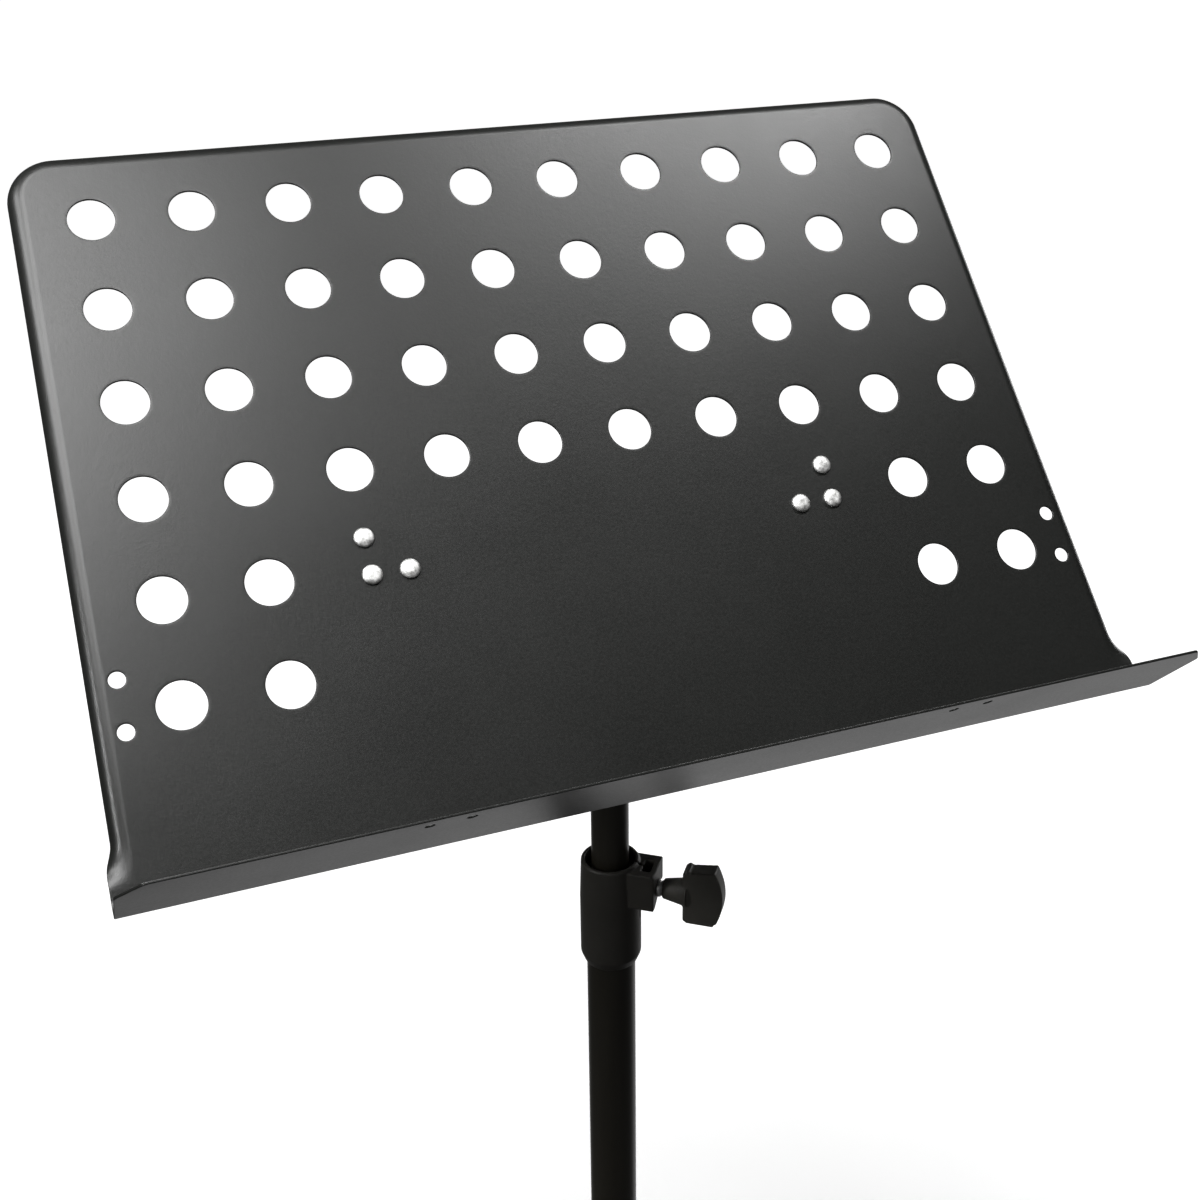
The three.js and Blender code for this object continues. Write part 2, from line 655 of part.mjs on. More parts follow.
function buildMast(stand) {
  const upperTop = PIVOT_Z + NECK_BOTTOM - GAP;
  const upperBottom = upperTop - UPPER_LENGTH;
  place(stand, 'upper_tube', tube(UPPER_BORE_R, UPPER_R, upperBottom, upperTop), gloss);
  const bushTop = upperBottom + BUSH_LENGTH;
  const bushSeat = upperBottom - GAP;
  const bushBottom = bushSeat - BUSH_FLOOR;
  const insideR = LOWER_BORE_R - GAP;
  place(stand, 'glide_bush', turned([
    [BUSH_HOLE_R, bushBottom], [insideR, bushBottom], [insideR, bushTop], [UPPER_R + GAP, bushTop],
    [UPPER_R + GAP, bushSeat], [BUSH_HOLE_R, bushSeat], [BUSH_HOLE_R, bushBottom],
  ], TUBE_ROUND), plastic);
  place(stand, 'lower_tube', tube(LOWER_BORE_R, LOWER_R, LOWER_BOTTOM_Z, LOWER_TOP_Z), gloss);
  const plugBottom = LOWER_BOTTOM_Z - END_PLUG_CAP;
  const plugSeat = LOWER_BOTTOM_Z - GAP;
  const plugTop = LOWER_BOTTOM_Z + END_PLUG_REACH;
  place(stand, 'lower_end_plug', turned([
    [0, plugBottom], [LOWER_R - END_PLUG_CHAMFER, plugBottom], [LOWER_R, plugBottom + END_PLUG_CHAMFER],
    [LOWER_R, plugSeat], [insideR, plugSeat], [insideR, plugTop], [0, plugTop],
  ], TUBE_ROUND), plastic);
  const clutch = new THREE.Group();
  clutch.rotation.z = BOSS_TURN;
  stand.add(clutch);
  place(clutch, 'clutch_collar', clutchShape(), plastic);
  place(clutch, 'clutch_liner', linerShape(), plastic);
  screwAndKnob(clutch, 'clutch', CLUTCH_SCREW_Z, BOSS_REACH);
}

// --- tripod ---------------------------------------------------------------------------------------------

// A fork or tongue that holds a pin at PIN_RADIUS on the +X side: a block from the sleeve, in the XZ plane.
function arm(y0, y1, z, halfHeight) {
  const g = block(CROWN_R - 4, FORK_REACH - 8, y0, y1, z - halfHeight, z + halfHeight);
  const end = rod(ARM_R, y0, y1, HOLE_ROUND);
  end.rotateX(-90 * DEG);
  end.translate(PIN_RADIUS, 0, z);
  return joined(g, end);
}

function pinHole(z, radius = PIN_RADIUS) {
  const g = rod(PIN_R + GAP, -30, 30, SMALL_ROUND);
  g.rotateX(90 * DEG);
  g.translate(radius, 0, z);
  return g;
}

function turnedAbout(manifold, degrees) {
  const g = geometryOf(manifold);
  g.rotateZ(degrees * DEG);
  return g;
}

function crownShape() {
  let body = solid(turned([
    [0, CROWN_Z - CROWN_DOWN], [CROWN_R - 1, CROWN_Z - CROWN_DOWN], [CROWN_R, CROWN_Z - CROWN_DOWN + 1],
    [CROWN_R, CROWN_Z + CROWN_UP - 3], [CROWN_R - 2, CROWN_Z + CROWN_UP], [0, CROWN_Z + CROWN_UP],
  ], TUBE_ROUND));
  const inside = LEG_HALF_WIDTH + GAP;
  for (const turn of LEG_TURNS) {
    for (const side of [-1, 1]) {
      const y0 = side > 0 ? inside : -inside - FORK_T;
      const fork = without(arm(y0, y0 + FORK_T, CROWN_Z, ARM_R), pinHole(CROWN_Z));
      body = body.add(solid(turnedAbout(fork, turn)));
    }
  }
  const boss = block(
    0, CROWN_BOSS_REACH, -ARM_R, ARM_R, CROWN_SCREW_Z - CROWN_BOSS_HALF, CROWN_SCREW_Z + CROWN_BOSS_HALF);
  boss.rotateZ(CROWN_KNOB_TURN);
  body = body.add(solid(boss));
  const bore = rod(LOWER_R + GAP, CROWN_Z - 60, CROWN_Z + 60, TUBE_ROUND);
  const pocket = nutPocket(CROWN_SCREW_Z, CROWN_SCREW_Z + CROWN_BOSS_HALF + 1);
  pocket.rotateZ(CROWN_KNOB_TURN);
  const hole = screwHole(CROWN_SCREW_Z);
  hole.rotateZ(CROWN_KNOB_TURN);
  return without(body, bore, pocket, hole);
}

function bottomCollarShape() {
  let body = solid(turned([
    [0, BRACE_Z - COLLAR_HALF], [COLLAR_R - 1, BRACE_Z - COLLAR_HALF], [COLLAR_R, BRACE_Z - COLLAR_HALF + 1],
    [COLLAR_R, BRACE_Z + COLLAR_HALF - 1], [COLLAR_R - 1, BRACE_Z + COLLAR_HALF], [0, BRACE_Z + COLLAR_HALF],
  ], TUBE_ROUND));
  for (const turn of LEG_TURNS) {
    const tongue = without(arm(-LEG_HALF_WIDTH, LEG_HALF_WIDTH, BRACE_Z, TONGUE_HALF), pinHole(BRACE_Z));
    body = body.add(solid(turnedAbout(tongue, turn)));
  }
  const bore = rod(
    LOWER_R + SLIDE_GAP, BRACE_Z - 2 * COLLAR_HALF, BRACE_Z + 2 * COLLAR_HALF, TUBE_ROUND);
  return without(body, bore);
}

function roundedRect(halfX, halfY, r) {
  const s = new THREE.Shape();
  s.absarc(halfX - r, halfY - r, r, 0, 90 * DEG, false);
  s.absarc(-halfX + r, halfY - r, r, 90 * DEG, 180 * DEG, false);
  s.absarc(-halfX + r, -halfY + r, r, 180 * DEG, 270 * DEG, false);
  s.absarc(halfX - r, -halfY + r, r, 270 * DEG, 360 * DEG, false);
  s.closePath();
  return s;
}

// One leg in its own frame: the pivot pin lies along Y at the origin, and the leg runs down -Z.
function legShape() {
  const length = LEG_LENGTH + LEG_TAIL;
  const outside = slab(roundedRect(LEG_HALF_DEPTH, LEG_HALF_WIDTH, LEG_CORNER_R), length, 1);
  const bore = roundedRect(
    LEG_HALF_DEPTH - LEG_WALL, LEG_HALF_WIDTH - LEG_WALL, LEG_CORNER_R - LEG_WALL);
  const inside = slab(bore, length + 2, 1);
  inside.translate(0, 0, -1);
  const body = geometryOf(without(solid(outside), inside));
  body.translate(0, 0, -LEG_LENGTH);
  return without(solid(body), pinHole(0, 0), pinHole(-LINK, 0));
}

// The rubber boot, in the leg's frame: it wraps the leg's end and stands flat on the floor.
function footShape() {
  const c = Math.cos(LEG_LEAN);
  const s = Math.sin(LEG_LEAN);
  const out = LEG_HALF_DEPTH + BOOT_WALL;
  // Points in the leg's XZ plane from a point [r, z] measured from the leg's end in the world's directions.
  const toLeg = ([r, z]) => [r * c + z * s, -LEG_LENGTH - r * s + z * c];
  const along = (d, off) => [off, -LEG_LENGTH + d];
  const floor = -LEG_END_Z;
  const outline = polygon([
    along(BOOT_LENGTH, -out), toLeg([SOLE_HEEL, floor]), toLeg([SOLE_TOE, floor]),
    toLeg([SOLE_TOE + TOE_ROUND, floor + TOE_ROUND]), along(-BOOT_WALL, LEG_HALF_DEPTH - BOOT_WALL),
    along(-BOOT_WALL + TOE_ROUND, out), along(BOOT_LENGTH, out),
  ]);
  const halfWidth = LEG_HALF_WIDTH + BOOT_SIDE;
  const g = slab(outline, 2 * halfWidth);
  g.rotateX(90 * DEG);
  g.translate(0, halfWidth, 0);
  const cavity = slab(roundedRect(LEG_HALF_DEPTH + GAP, LEG_HALF_WIDTH + GAP, LEG_CORNER_R), 100, 2);
  cavity.translate(0, 0, -LEG_LENGTH - GAP);
  return without(solid(g), cavity);
}

// A brace strip in its own frame: its inner pin lies along Y at the origin, and it runs up +Z.
function stripShape(side) {
  const s = new THREE.Shape();
  s.absarc(0, 0, STRIP_HALF_DEPTH, 180 * DEG, 360 * DEG, false);
  s.absarc(0, LINK, STRIP_HALF_DEPTH, 0, 180 * DEG, false);
  s.closePath();
  const plate = slab(s, STRIP_T, 6);
  plate.rotateX(90 * DEG);
  const y0 = side > 0 ? LEG_HALF_WIDTH + GAP : -LEG_HALF_WIDTH - GAP - STRIP_T;
  plate.translate(0, y0 + STRIP_T, 0);
  const outer = side > 0 ? y0 + STRIP_T : y0;
  const dome = turned([[0, -0.5], ...domePoints(PIN_HEAD_R, PIN_HEAD_H)], SMALL_ROUND);
  dome.rotateX(side * -90 * DEG);
  dome.translate(0, outer, LINK);
  return without(joined(plate, dome), pinHole(0, 0));
}

function buildLeg(stand, turn, number) {
  const spoke = new THREE.Group();
  spoke.rotation.z = turn * DEG;
  stand.add(spoke);
  const legFrame = new THREE.Group();
  legFrame.position.set(PIN_RADIUS, 0, CROWN_Z);
  legFrame.rotation.y = -LEG_LEAN;
  spoke.add(legFrame);
  place(legFrame, `leg_${number}`, legShape(), gloss);
  place(legFrame, `foot_${number}`, footShape(), rubber);
  const middle = rod(PIN_R, -LEG_HALF_WIDTH, LEG_HALF_WIDTH, SMALL_ROUND);
  middle.rotateX(90 * DEG);
  middle.translate(0, 0, -LINK);
  place(legFrame, `leg_mid_pin_${number}`, middle, bright);
  const crownPin = headedPin(PIN_R, LEG_HALF_WIDTH + 2 * GAP + FORK_T, PIN_HEAD_R, PIN_HEAD_H);
  crownPin.rotateX(90 * DEG);
  crownPin.translate(PIN_RADIUS, 0, CROWN_Z);
  place(spoke, `leg_pin_${number}`, crownPin, bright);
  const braceFrame = new THREE.Group();
  braceFrame.position.set(PIN_RADIUS, 0, BRACE_Z);
  braceFrame.rotation.y = LEG_LEAN;
  spoke.add(braceFrame);
  place(braceFrame, `brace_${number}_a`, stripShape(-1), gloss);
  place(braceFrame, `brace_${number}_b`, stripShape(1), gloss);
  const bracePin = headedPin(PIN_R, LEG_HALF_WIDTH + 2 * GAP + STRIP_T, PIN_HEAD_R, PIN_HEAD_H);
  bracePin.rotateX(90 * DEG);
  bracePin.translate(PIN_RADIUS, 0, BRACE_Z);
  place(spoke, `brace_pin_${number}`, bracePin, bright);
}

function buildTripod(stand) {
  place(stand, 'leg_crown', crownShape(), plastic);
  place(stand, 'bottom_collar', bottomCollarShape(), plastic);
  const knobSide = new THREE.Group();
  knobSide.rotation.z = CROWN_KNOB_TURN;
  stand.add(knobSide);
  screwAndKnob(knobSide, 'crown', CROWN_SCREW_Z, CROWN_BOSS_REACH);
  LEG_TURNS.forEach((turn, i) => buildLeg(stand, turn, i + 1));
}

// --- assembly -------------------------------------------------------------------------------------------

const stand = new THREE.Group();

const tilted = new THREE.Group();
tilted.position.set(0, 0, PIVOT_Z);
tilted.rotation.x = 90 * DEG - DESK_LEAN;
stand.add(tilted);
const desk = new THREE.Group();
desk.position.set(0, -PIVOT_DESK_Y, PIVOT_BEHIND);
tilted.add(desk);
buildDesk(desk);

const head = new THREE.Group();
head.position.set(0, 0, PIVOT_Z);
stand.add(head);
buildTilt(head);

buildMast(stand);
buildTripod(stand);

stand.updateMatrixWorld(true);
const bounds = new THREE.Box3().setFromObject(stand, true);
stand.position.y = -(bounds.min.y + bounds.max.y) / 2;

export default stand;
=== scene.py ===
"""The looks of an orchestral music stand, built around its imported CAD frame.

Pieces are made in millimetres in the same local frames as the CAD (the desk's sheet, the tilt head, the
clutch, each leg), then scaled to metres and set to ride on their CAD bodies.
"""
import json
import math

import bmesh
import bpy
from mathutils import Matrix, Vector


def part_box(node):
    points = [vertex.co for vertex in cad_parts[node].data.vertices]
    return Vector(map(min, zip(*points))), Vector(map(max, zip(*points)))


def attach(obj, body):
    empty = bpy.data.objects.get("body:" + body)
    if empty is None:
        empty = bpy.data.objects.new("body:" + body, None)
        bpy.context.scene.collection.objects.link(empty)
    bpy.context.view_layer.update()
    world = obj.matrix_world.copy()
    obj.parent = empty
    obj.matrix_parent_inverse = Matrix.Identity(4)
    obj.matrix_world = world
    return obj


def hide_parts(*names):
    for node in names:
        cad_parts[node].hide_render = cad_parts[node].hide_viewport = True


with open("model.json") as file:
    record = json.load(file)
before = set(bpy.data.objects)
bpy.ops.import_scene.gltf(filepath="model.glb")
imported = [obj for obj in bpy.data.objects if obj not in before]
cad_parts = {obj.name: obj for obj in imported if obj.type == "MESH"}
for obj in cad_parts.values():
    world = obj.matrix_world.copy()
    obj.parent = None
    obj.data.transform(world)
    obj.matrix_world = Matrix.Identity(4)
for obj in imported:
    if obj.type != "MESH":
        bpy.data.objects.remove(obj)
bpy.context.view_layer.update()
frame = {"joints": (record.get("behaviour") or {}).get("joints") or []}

MM = 0.001
SCENE = bpy.context.scene

# --- sizes, in millimetres ------------------------------------------------------------------------------

# The desk's sheet. In the desk's frame x runs along the desk, y up it from the underside of the shelf, and
# z out of its front face.
SHEET = 1.2
EDGE_ROUND = 0.3
LEAN = math.radians(42)
PIVOT_ON_DESK = 104
PIVOT_BEHIND = 25
DESK_TOP = 343
TOP_HALF_WIDTH = 237
FOOT_HALF_WIDTH = 239.4
CORNER_R = 22
ROLL_R = 8
FLARE_LOW, FLARE_HIGH = 10, 29
SHELF_HALF_WIDTH = 242.5
SHELF_FRONT_HALF_WIDTH = 232
SHELF_DEPTH = 61
SHELF_CUT = 15
BEND_R = 7
SHELF_TILT = math.radians(2.4)
FOOT_Y = (BEND_R + SHEET) / math.cos(SHELF_TILT) - (SHELF_DEPTH - BEND_R) * math.tan(SHELF_TILT)
PITCH_X, PITCH_Y = 45, 45.9
HOLE_R = 10.5
TOP_ROW = 307
COLUMNS, FULL_ROWS, SIDE_ROWS, SIDE_COLUMNS = 10, 4, 2, 2
SIDE_HOLES = [(226, 70.6), (226, 92.8)]
SIDE_HOLE_R = 3.6
PIN_HOLES_X = (108, 125)
PIN_HOLE_R = 2.1
PIN_HOLE_INSET = 8
RIVETS = [(113.5, 136.4), (113.5, 118.9), (96.5, 118.9)]
RIVET_R = 2.0
RIVET_HEAD_R, RIVET_HEAD_H = 4.6, 2.2

# Bracket ears, cross rod and tilt head.
EAR_X, EAR_T, EAR_BEND_R = 86, 2, 3.5
EAR_LOW, EAR_HIGH = 87, 129
FLANGE_IN, FLANGE_OUT, FLANGE_LOW, FLANGE_HIGH, FLANGE_R = 107, 122, 110, 144, 5
ROD_R = 6
ROD_SCREW_R = 2.7
HEAD_R, HEAD_HALF = 13, 18
LUG_HALF, LUG_Y, LUG_HALF_H = 11, 39, 7
BOLT_Y, BOLT_R = 30, 3
WASHER_R, WASHER_T = 7, 1.2

# Mast and clutch.
UPPER_R, UPPER_BORE = 9.5, 7.9
LOWER_R, LOWER_BORE = 12.5, 11
CLUTCH_R = 15.6
BOSS_REACH, BOSS_HALF = 25, 10
SCREW_R = 3
NUT_X, NUT_H = 17.9, 3.6
HEX_ACROSS = 10
POCKET_X, POCKET_HALF, POCKET_DROP = (17.5, 22), 5.3, 6.1
PLATED_R = 4.7
WING_HALF, WING_T, WING_START, WING_END, WING_BULGE = 15.8, 9, 10.7, 27, 4

# Tripod.
LEG_LEAN = math.radians(62)
LEG_LENGTH, LEG_TAIL = 276, 7
LEG_HALF_DEPTH, LEG_HALF_WIDTH = 6, 9
PIN_RADIUS, PIN_R = 30, 2.5
PIN_HEAD_R, PIN_HEAD_H = 4.8, 2.1
LINK = 122
STRIP_T, STRIP_HALF = 2, 6.5
CROWN_R = 18
FORK_T = 3.2
LEGS = (1, 2, 3)

# Clearances: between moving parts, on a hole's radius, and between parts that bear on each other.
GAP = 0.3
FIT = 0.2
SEAT = 0.05

# --- local frames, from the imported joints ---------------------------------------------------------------

JOINTS = {j["name"]: j for j in frame["joints"]}


def joint_place(name):
    return Vector(JOINTS[name]["pos_m"]) / MM


def joint_turn(name):
    """The angle about Z of a joint's level axis."""
    axis = JOINTS[name]["axis"]
    return math.atan2(axis[1], axis[0])


def turn(radians, axis):
    return Matrix.Rotation(radians, 4, axis)


def shift(x=0.0, y=0.0, z=0.0):
    return Matrix.Translation((x, y, z))


PIVOT = joint_place("desk_tilt")
CLUTCH_Z = joint_place("clutch_knob_turn").z
CROWN_SCREW_Z = joint_place("crown_knob_turn").z
CROWN_Z = joint_place("leg_fold_1").z
BRACE_Z = joint_place("brace_fold_1").z
MAST = shift(0, PIVOT.y, 0)
HEAD = Matrix.Translation(PIVOT)
DESK = HEAD @ turn(math.pi / 2 - LEAN, "X") @ shift(0, -PIVOT_ON_DESK, PIVOT_BEHIND)
CLUTCH = MAST @ turn(joint_turn("clutch_knob_turn"), "Z")
CROWN_KNOB = MAST @ turn(joint_turn("crown_knob_turn"), "Z")

# These lay a part's own Z along X, and along -Y.
ALONG_X = turn(math.pi / 2, "Y")
ALONG_Y = turn(math.pi / 2, "X")


def spoke(number):
    place = joint_place(f"leg_fold_{number}") - PIVOT
    return MAST @ turn(math.atan2(place.y, place.x), "Z")


# --- outlines -------------------------------------------------------------------------------------------


def arc(cx, cy, r, start, end, steps):
    """Points on a circle's arc, its ends included. Angles in degrees."""
    angles = [math.radians(start + (end - start) * i / steps) for i in range(steps + 1)]
    return [(cx + r * math.cos(a), cy + r * math.sin(a)) for a in angles]


def circle(cx, cy, r, sides):
    return arc(cx, cy, r, 0, 360, sides)[:-1]


def filleted(points, closed=True, step=15):
    """An outline with round corners. A point is (x, y), or (x, y, radius) for a corner to round."""
    out = []
    count = len(points)
    for i, point in enumerate(points):
        here = Vector(point[:2])
        radius = point[2] if len(point) > 2 else 0
        inner = closed or 0 < i < count - 1
        if radius <= 0 or not inner:
            out.append(tuple(here))
            continue
        before = Vector(points[i - 1][:2]) - here
        after = Vector(points[(i + 1) % count][:2]) - here
        opening = before.angle(after)
        reach = radius / math.tan(opening / 2)
        reach = min(reach, 0.49 * before.length, 0.49 * after.length)
        radius = reach * math.tan(opening / 2)
        middle = (before.normalized() + after.normalized()).normalized()
        centre = here + middle * radius / math.sin(opening / 2)
        first = here + before.normalized() * reach - centre
        last = here + after.normalized() * reach - centre
        turned = first.angle_signed(last)
        steps = max(2, math.ceil(abs(math.degrees(turned)) / step))
        for k in range(steps + 1):
            out.append(tuple(centre + Matrix.Rotation(-turned * k / steps, 2) @ first))
    return out


def dome(radius, height, base=0.0, steps=8, power=1.0):
    """A lathe profile from a head's rim up to its crown. A power under 1 flattens it."""
    quarter = arc(0, 0, 1, 0, 90, steps)
    side = [(radius * x ** power, base + height * y ** power) for x, y in quarter[:-1]]
    return side + [(0, base + height)]


# --- solids, as bmeshes in millimetres ------------------------------------------------------------------


def lathe(profile, sides=64, closed=False):
    """A profile of [radius, z] points turned about Z. Open profiles start and end on the axis."""
    bm = bmesh.new()
    angles = [2 * math.pi * i / sides for i in range(sides)]
    rings = []
    for r, z in profile:
        if r < 1e-6:
            rings.append([bm.verts.new((0, 0, z))])
        else:
            rings.append([bm.verts.new((r * math.cos(a), r * math.sin(a), z)) for a in angles])
    following = rings[1:] + (rings[:1] if closed else [])
    for low, high in zip(rings, following):
        for i in range(sides):
            j = (i + 1) % sides
            if len(low) == 1:
                bm.faces.new((low[0], high[j], high[i]))
            elif len(high) == 1:
                bm.faces.new((low[i], low[j], high[0]))
            else:
                bm.faces.new((low[i], low[j], high[j], high[i]))
    bmesh.ops.recalc_face_normals(bm, faces=bm.faces)
    return bm


def ring(inner, outer, low, high, edge, sides=64):
    """A tube or washer along Z with rounded edges."""
    profile = [(inner, low, edge), (outer, low, edge), (outer, high, edge), (inner, high, edge)]
    return lathe(filleted(profile, step=30), sides, closed=True)


def rod(radius, low, high, edge=0.0, sides=48):
    profile = [(0, low), (radius, low, edge), (radius, high, edge), (0, high)]
    return lathe(filleted(profile, closed=False, step=30), sides)


def loop_edges(bm, loop):
    return [bm.edges.get(pair) or bm.edges.new(pair) for pair in zip(loop, loop[1:] + loop[:1])]


def prism(outline, low, high, holes=()):
    """An outline in XY, with holes, between two heights."""
    bm = bmesh.new()
    edges = []
    for points in [outline, *holes]:
        edges += loop_edges(bm, [bm.verts.new((x, y, low)) for x, y in points])
    bmesh.ops.triangle_fill(bm, use_beauty=True, use_dissolve=not holes, edges=edges)
    grown = bmesh.ops.extrude_face_region(bm, geom=bm.faces[:])
    top = [v for v in grown["geom"] if isinstance(v, bmesh.types.BMVert)]
    bmesh.ops.translate(bm, verts=top, vec=(0, 0, high - low))
    bmesh.ops.recalc_face_normals(bm, faces=bm.faces)
    return bm


def block(x0, x1, y0, y1, z0, z1):
    return prism([(x0, y0), (x1, y0), (x1, y1), (x0, y1)], z0, z1)


def moved(bm, matrix):
    bm.transform(matrix)
    return bm


def linked(bm, name="work"):
    mesh = bpy.data.meshes.new(name)
    bm.to_mesh(mesh)
    bm.free()
    obj = bpy.data.objects.new(name, mesh)
    SCENE.collection.objects.link(obj)
    return obj


def baked(obj, *others):
    """The bmesh of an object with its modifiers applied. The object and the others are removed."""
    shape = bpy.data.meshes.new_from_object(obj.evaluated_get(bpy.context.evaluated_depsgraph_get()))
    bm = bmesh.new()
    bm.from_mesh(shape)
    bpy.data.meshes.remove(shape)
    for used in (obj, *others):
        mesh = used.data
        bpy.data.objects.remove(used)
        bpy.data.meshes.remove(mesh)
    return bm


def combined(first, others, operation):
    base = linked(first)
    tools = [linked(other) for other in others]
    for tool in tools:
        step = base.modifiers.new("step", "BOOLEAN")
        step.operation = operation
        step.solver = "EXACT"
        step.object = tool
    return baked(base, *tools)


def joined(first, *others):
    return combined(first, others, "UNION")


def cut(first, *others):
    return combined(first, others, "DIFFERENCE")


def cast(bm, voxel=0.5, passes=5):
    """A moulded part's skin: one even mesh over the sharp shape, with soft edges."""
    base = linked(bm)
    skin = base.modifiers.new("skin", "REMESH")
    skin.mode = "VOXEL"
    skin.voxel_size = voxel
    soft = base.modifiers.new("soft", "SMOOTH")
    soft.factor = 0.5
    soft.iterations = passes
    return baked(base)


def thickened(bm, normals, thickness, edge=EDGE_ROUND):
    """A closed sheet from its front skin: a back skin, and rounded rims along every free edge."""
    front = list(bm.faces)
    behind = {v: bm.verts.new(v.co - normals[v] * thickness) for v in normals}
    free = []
    for face in front:
        corners = list(face.verts)
        for a, b in zip(corners, corners[1:] + corners[:1]):
            if len(bm.edges.get((a, b)).link_faces) == 1:
                free.append((a, b))
    outward = {}
    for a, b in free:
        for v in (a, b):
            side = (b.co - a.co).normalized().cross(normals[v])
            outward[v] = outward.get(v, Vector()) + side.normalized()
    low = edge * (1 - math.cos(math.pi / 4))
    steps = [
        (edge * math.sin(math.pi / 4), low),
        (edge, edge),
        (edge, thickness - edge),
        (edge * math.sin(math.pi / 4), thickness - low),
    ]
    rims = {}
    for v, side in outward.items():
        side = side.normalized()
        row = [bm.verts.new(v.co + side * out - normals[v] * down) for out, down in steps]
        rims[v] = [v, *row, behind[v]]
    for face in front:
        bm.faces.new([behind[v] for v in reversed(face.verts)])
    for a, b in free:
        for k in range(len(steps) + 1):
            bm.faces.new((b, a, rims[a][k + 1], rims[b][k + 1]) if k == 0 else
                         (rims[b][k], rims[a][k], rims[a][k + 1], rims[b][k + 1]))
    bmesh.ops.recalc_face_normals(bm, faces=bm.faces)
    return bm


class Skin:
    """The front skin of a bent sheet, as it grows: vertices with their normals, flat fills and strips."""

    def __init__(self):
        self.bm = bmesh.new()
        self.normals = {}

    def put(self, point, normal):
        v = self.bm.verts.new(point)
        self.normals[v] = Vector(normal).normalized()
        return v

    def quads(self, low, high, closed=False):
        pairs = list(zip(low, high))
        following = pairs[1:] + (pairs[:1] if closed else [])
        for (a, b), (c, d) in zip(pairs, following):
            self.bm.faces.new((a, c, d, b))

    def punched(self, centre, u, v, normal, radius, sides, margin):
        """A punched hole's lip in a flat region. Returns its outer ring, for the fill."""
        rings = []
        for r in (radius + EDGE_ROUND, radius + margin):
            angles = [2 * math.pi * i / sides for i in range(sides)]
            points = [centre + (u * math.cos(a) + v * math.sin(a)) * r for a in angles]
            rings.append([self.put(p, normal) for p in points])
        self.quads(rings[1], rings[0], closed=True)
        return rings[1]

    def fill(self, *loops):
        edges = [e for loop in loops for e in loop_edges(self.bm, loop)]
        bmesh.ops.triangle_fill(self.bm, use_beauty=True, use_dissolve=False, edges=edges)

    def solid(self, thickness):
        self.bm.normal_update()
        for face in self.bm.faces:
            mean = sum((self.normals[v] for v in face.verts), Vector())
            if face.normal.dot(mean) < 0:
                face.normal_flip()
        return thickened(self.bm, self.normals, thickness)


# --- materials ------------------------------------------------------------------------------------------


NOISE_REACH = (0.3, 0.7)


class Nodes:
    """A material's node tree, with short calls for what the finishes here share."""

    def __init__(self, name):
        self.material = bpy.data.materials.new(name)
        self.material.use_nodes = True
        self.tree = self.material.node_tree
        self.shader = self.tree.nodes["Principled BSDF"]
        self.place = self.tree.nodes.new("ShaderNodeTexCoord").outputs["Object"]

    def link(self, output, node, socket):
        self.tree.links.new(output, node.inputs[socket])

    def noise(self, scale, detail=3.0, roughness=0.55, stretch=(1, 1, 1)):
        node = self.tree.nodes.new("ShaderNodeTexNoise")
        node.inputs["Scale"].default_value = scale
        node.inputs["Detail"].default_value = detail
        node.inputs["Roughness"].default_value = roughness
        mapping = self.tree.nodes.new("ShaderNodeMapping")
        mapping.inputs["Scale"].default_value = stretch
        self.link(self.place, mapping, "Vector")
        self.link(mapping.outputs["Vector"], node, "Vector")
        return node.outputs["Fac"]

    def cells(self, scale):
        node = self.tree.nodes.new("ShaderNodeTexVoronoi")
        node.inputs["Scale"].default_value = scale
        self.link(self.place, node, "Vector")
        return node.outputs["Distance"]

    def edges(self, low, high):
        """0 on flat stretches and 1 on a mesh's outer edges."""
        node = self.tree.nodes.new("ShaderNodeNewGeometry")
        return self.range(node.outputs["Pointiness"], low, high, 0.0, 1.0)

    def range(self, value, from_low, from_high, to_low, to_high):
        node = self.tree.nodes.new("ShaderNodeMapRange")
        bounds = (("From Min", from_low), ("From Max", from_high), ("To Min", to_low), ("To Max", to_high))
        for socket, number in bounds:
            node.inputs[socket].default_value = number
        self.link(value, node, "Value")
        return node.outputs["Result"]

    def swing(self, value, low, high):
        """A noise's usual reach, stretched to run from low to high."""
        return self.range(value, *NOISE_REACH, low, high)

    def blend(self, factor, first, second):
        """A colour between two: each is a colour's three numbers or another node's output."""
        node = self.tree.nodes.new("ShaderNodeMix")
        node.data_type = "RGBA"
        self.link(factor, node, 0)
        for index, colour in ((6, first), (7, second)):
            if isinstance(colour, tuple):
                node.inputs[index].default_value = (*colour, 1)
            else:
                self.tree.links.new(colour, node.inputs[index])
        return node.outputs[2]

    def add(self, first, second):
        node = self.tree.nodes.new("ShaderNodeMath")
        self.tree.links.new(first, node.inputs[0])
        self.tree.links.new(second, node.inputs[1])
        return node.outputs[0]

    def bump(self, *layers):
        """Relief from (height, strength, depth in mm) layers, one over the other."""
        normal = None
        for height, strength, depth in layers:
            node = self.tree.nodes.new("ShaderNodeBump")
            node.inputs["Strength"].default_value = strength
            node.inputs["Distance"].default_value = depth * MM
            self.link(height, node, "Height")
            if normal is not None:
                self.link(normal, node, "Normal")
            normal = node.outputs["Normal"]
        self.link(normal, self.shader, "Normal")

    def set(self, **values):
        for socket, value in values.items():
            self.shader.inputs[socket.replace("_", " ")].default_value = value

    def colour(self, output):
        self.link(output, self.shader, "Base Color")

    def roughness(self, output):
        self.link(output, self.shader, "Roughness")


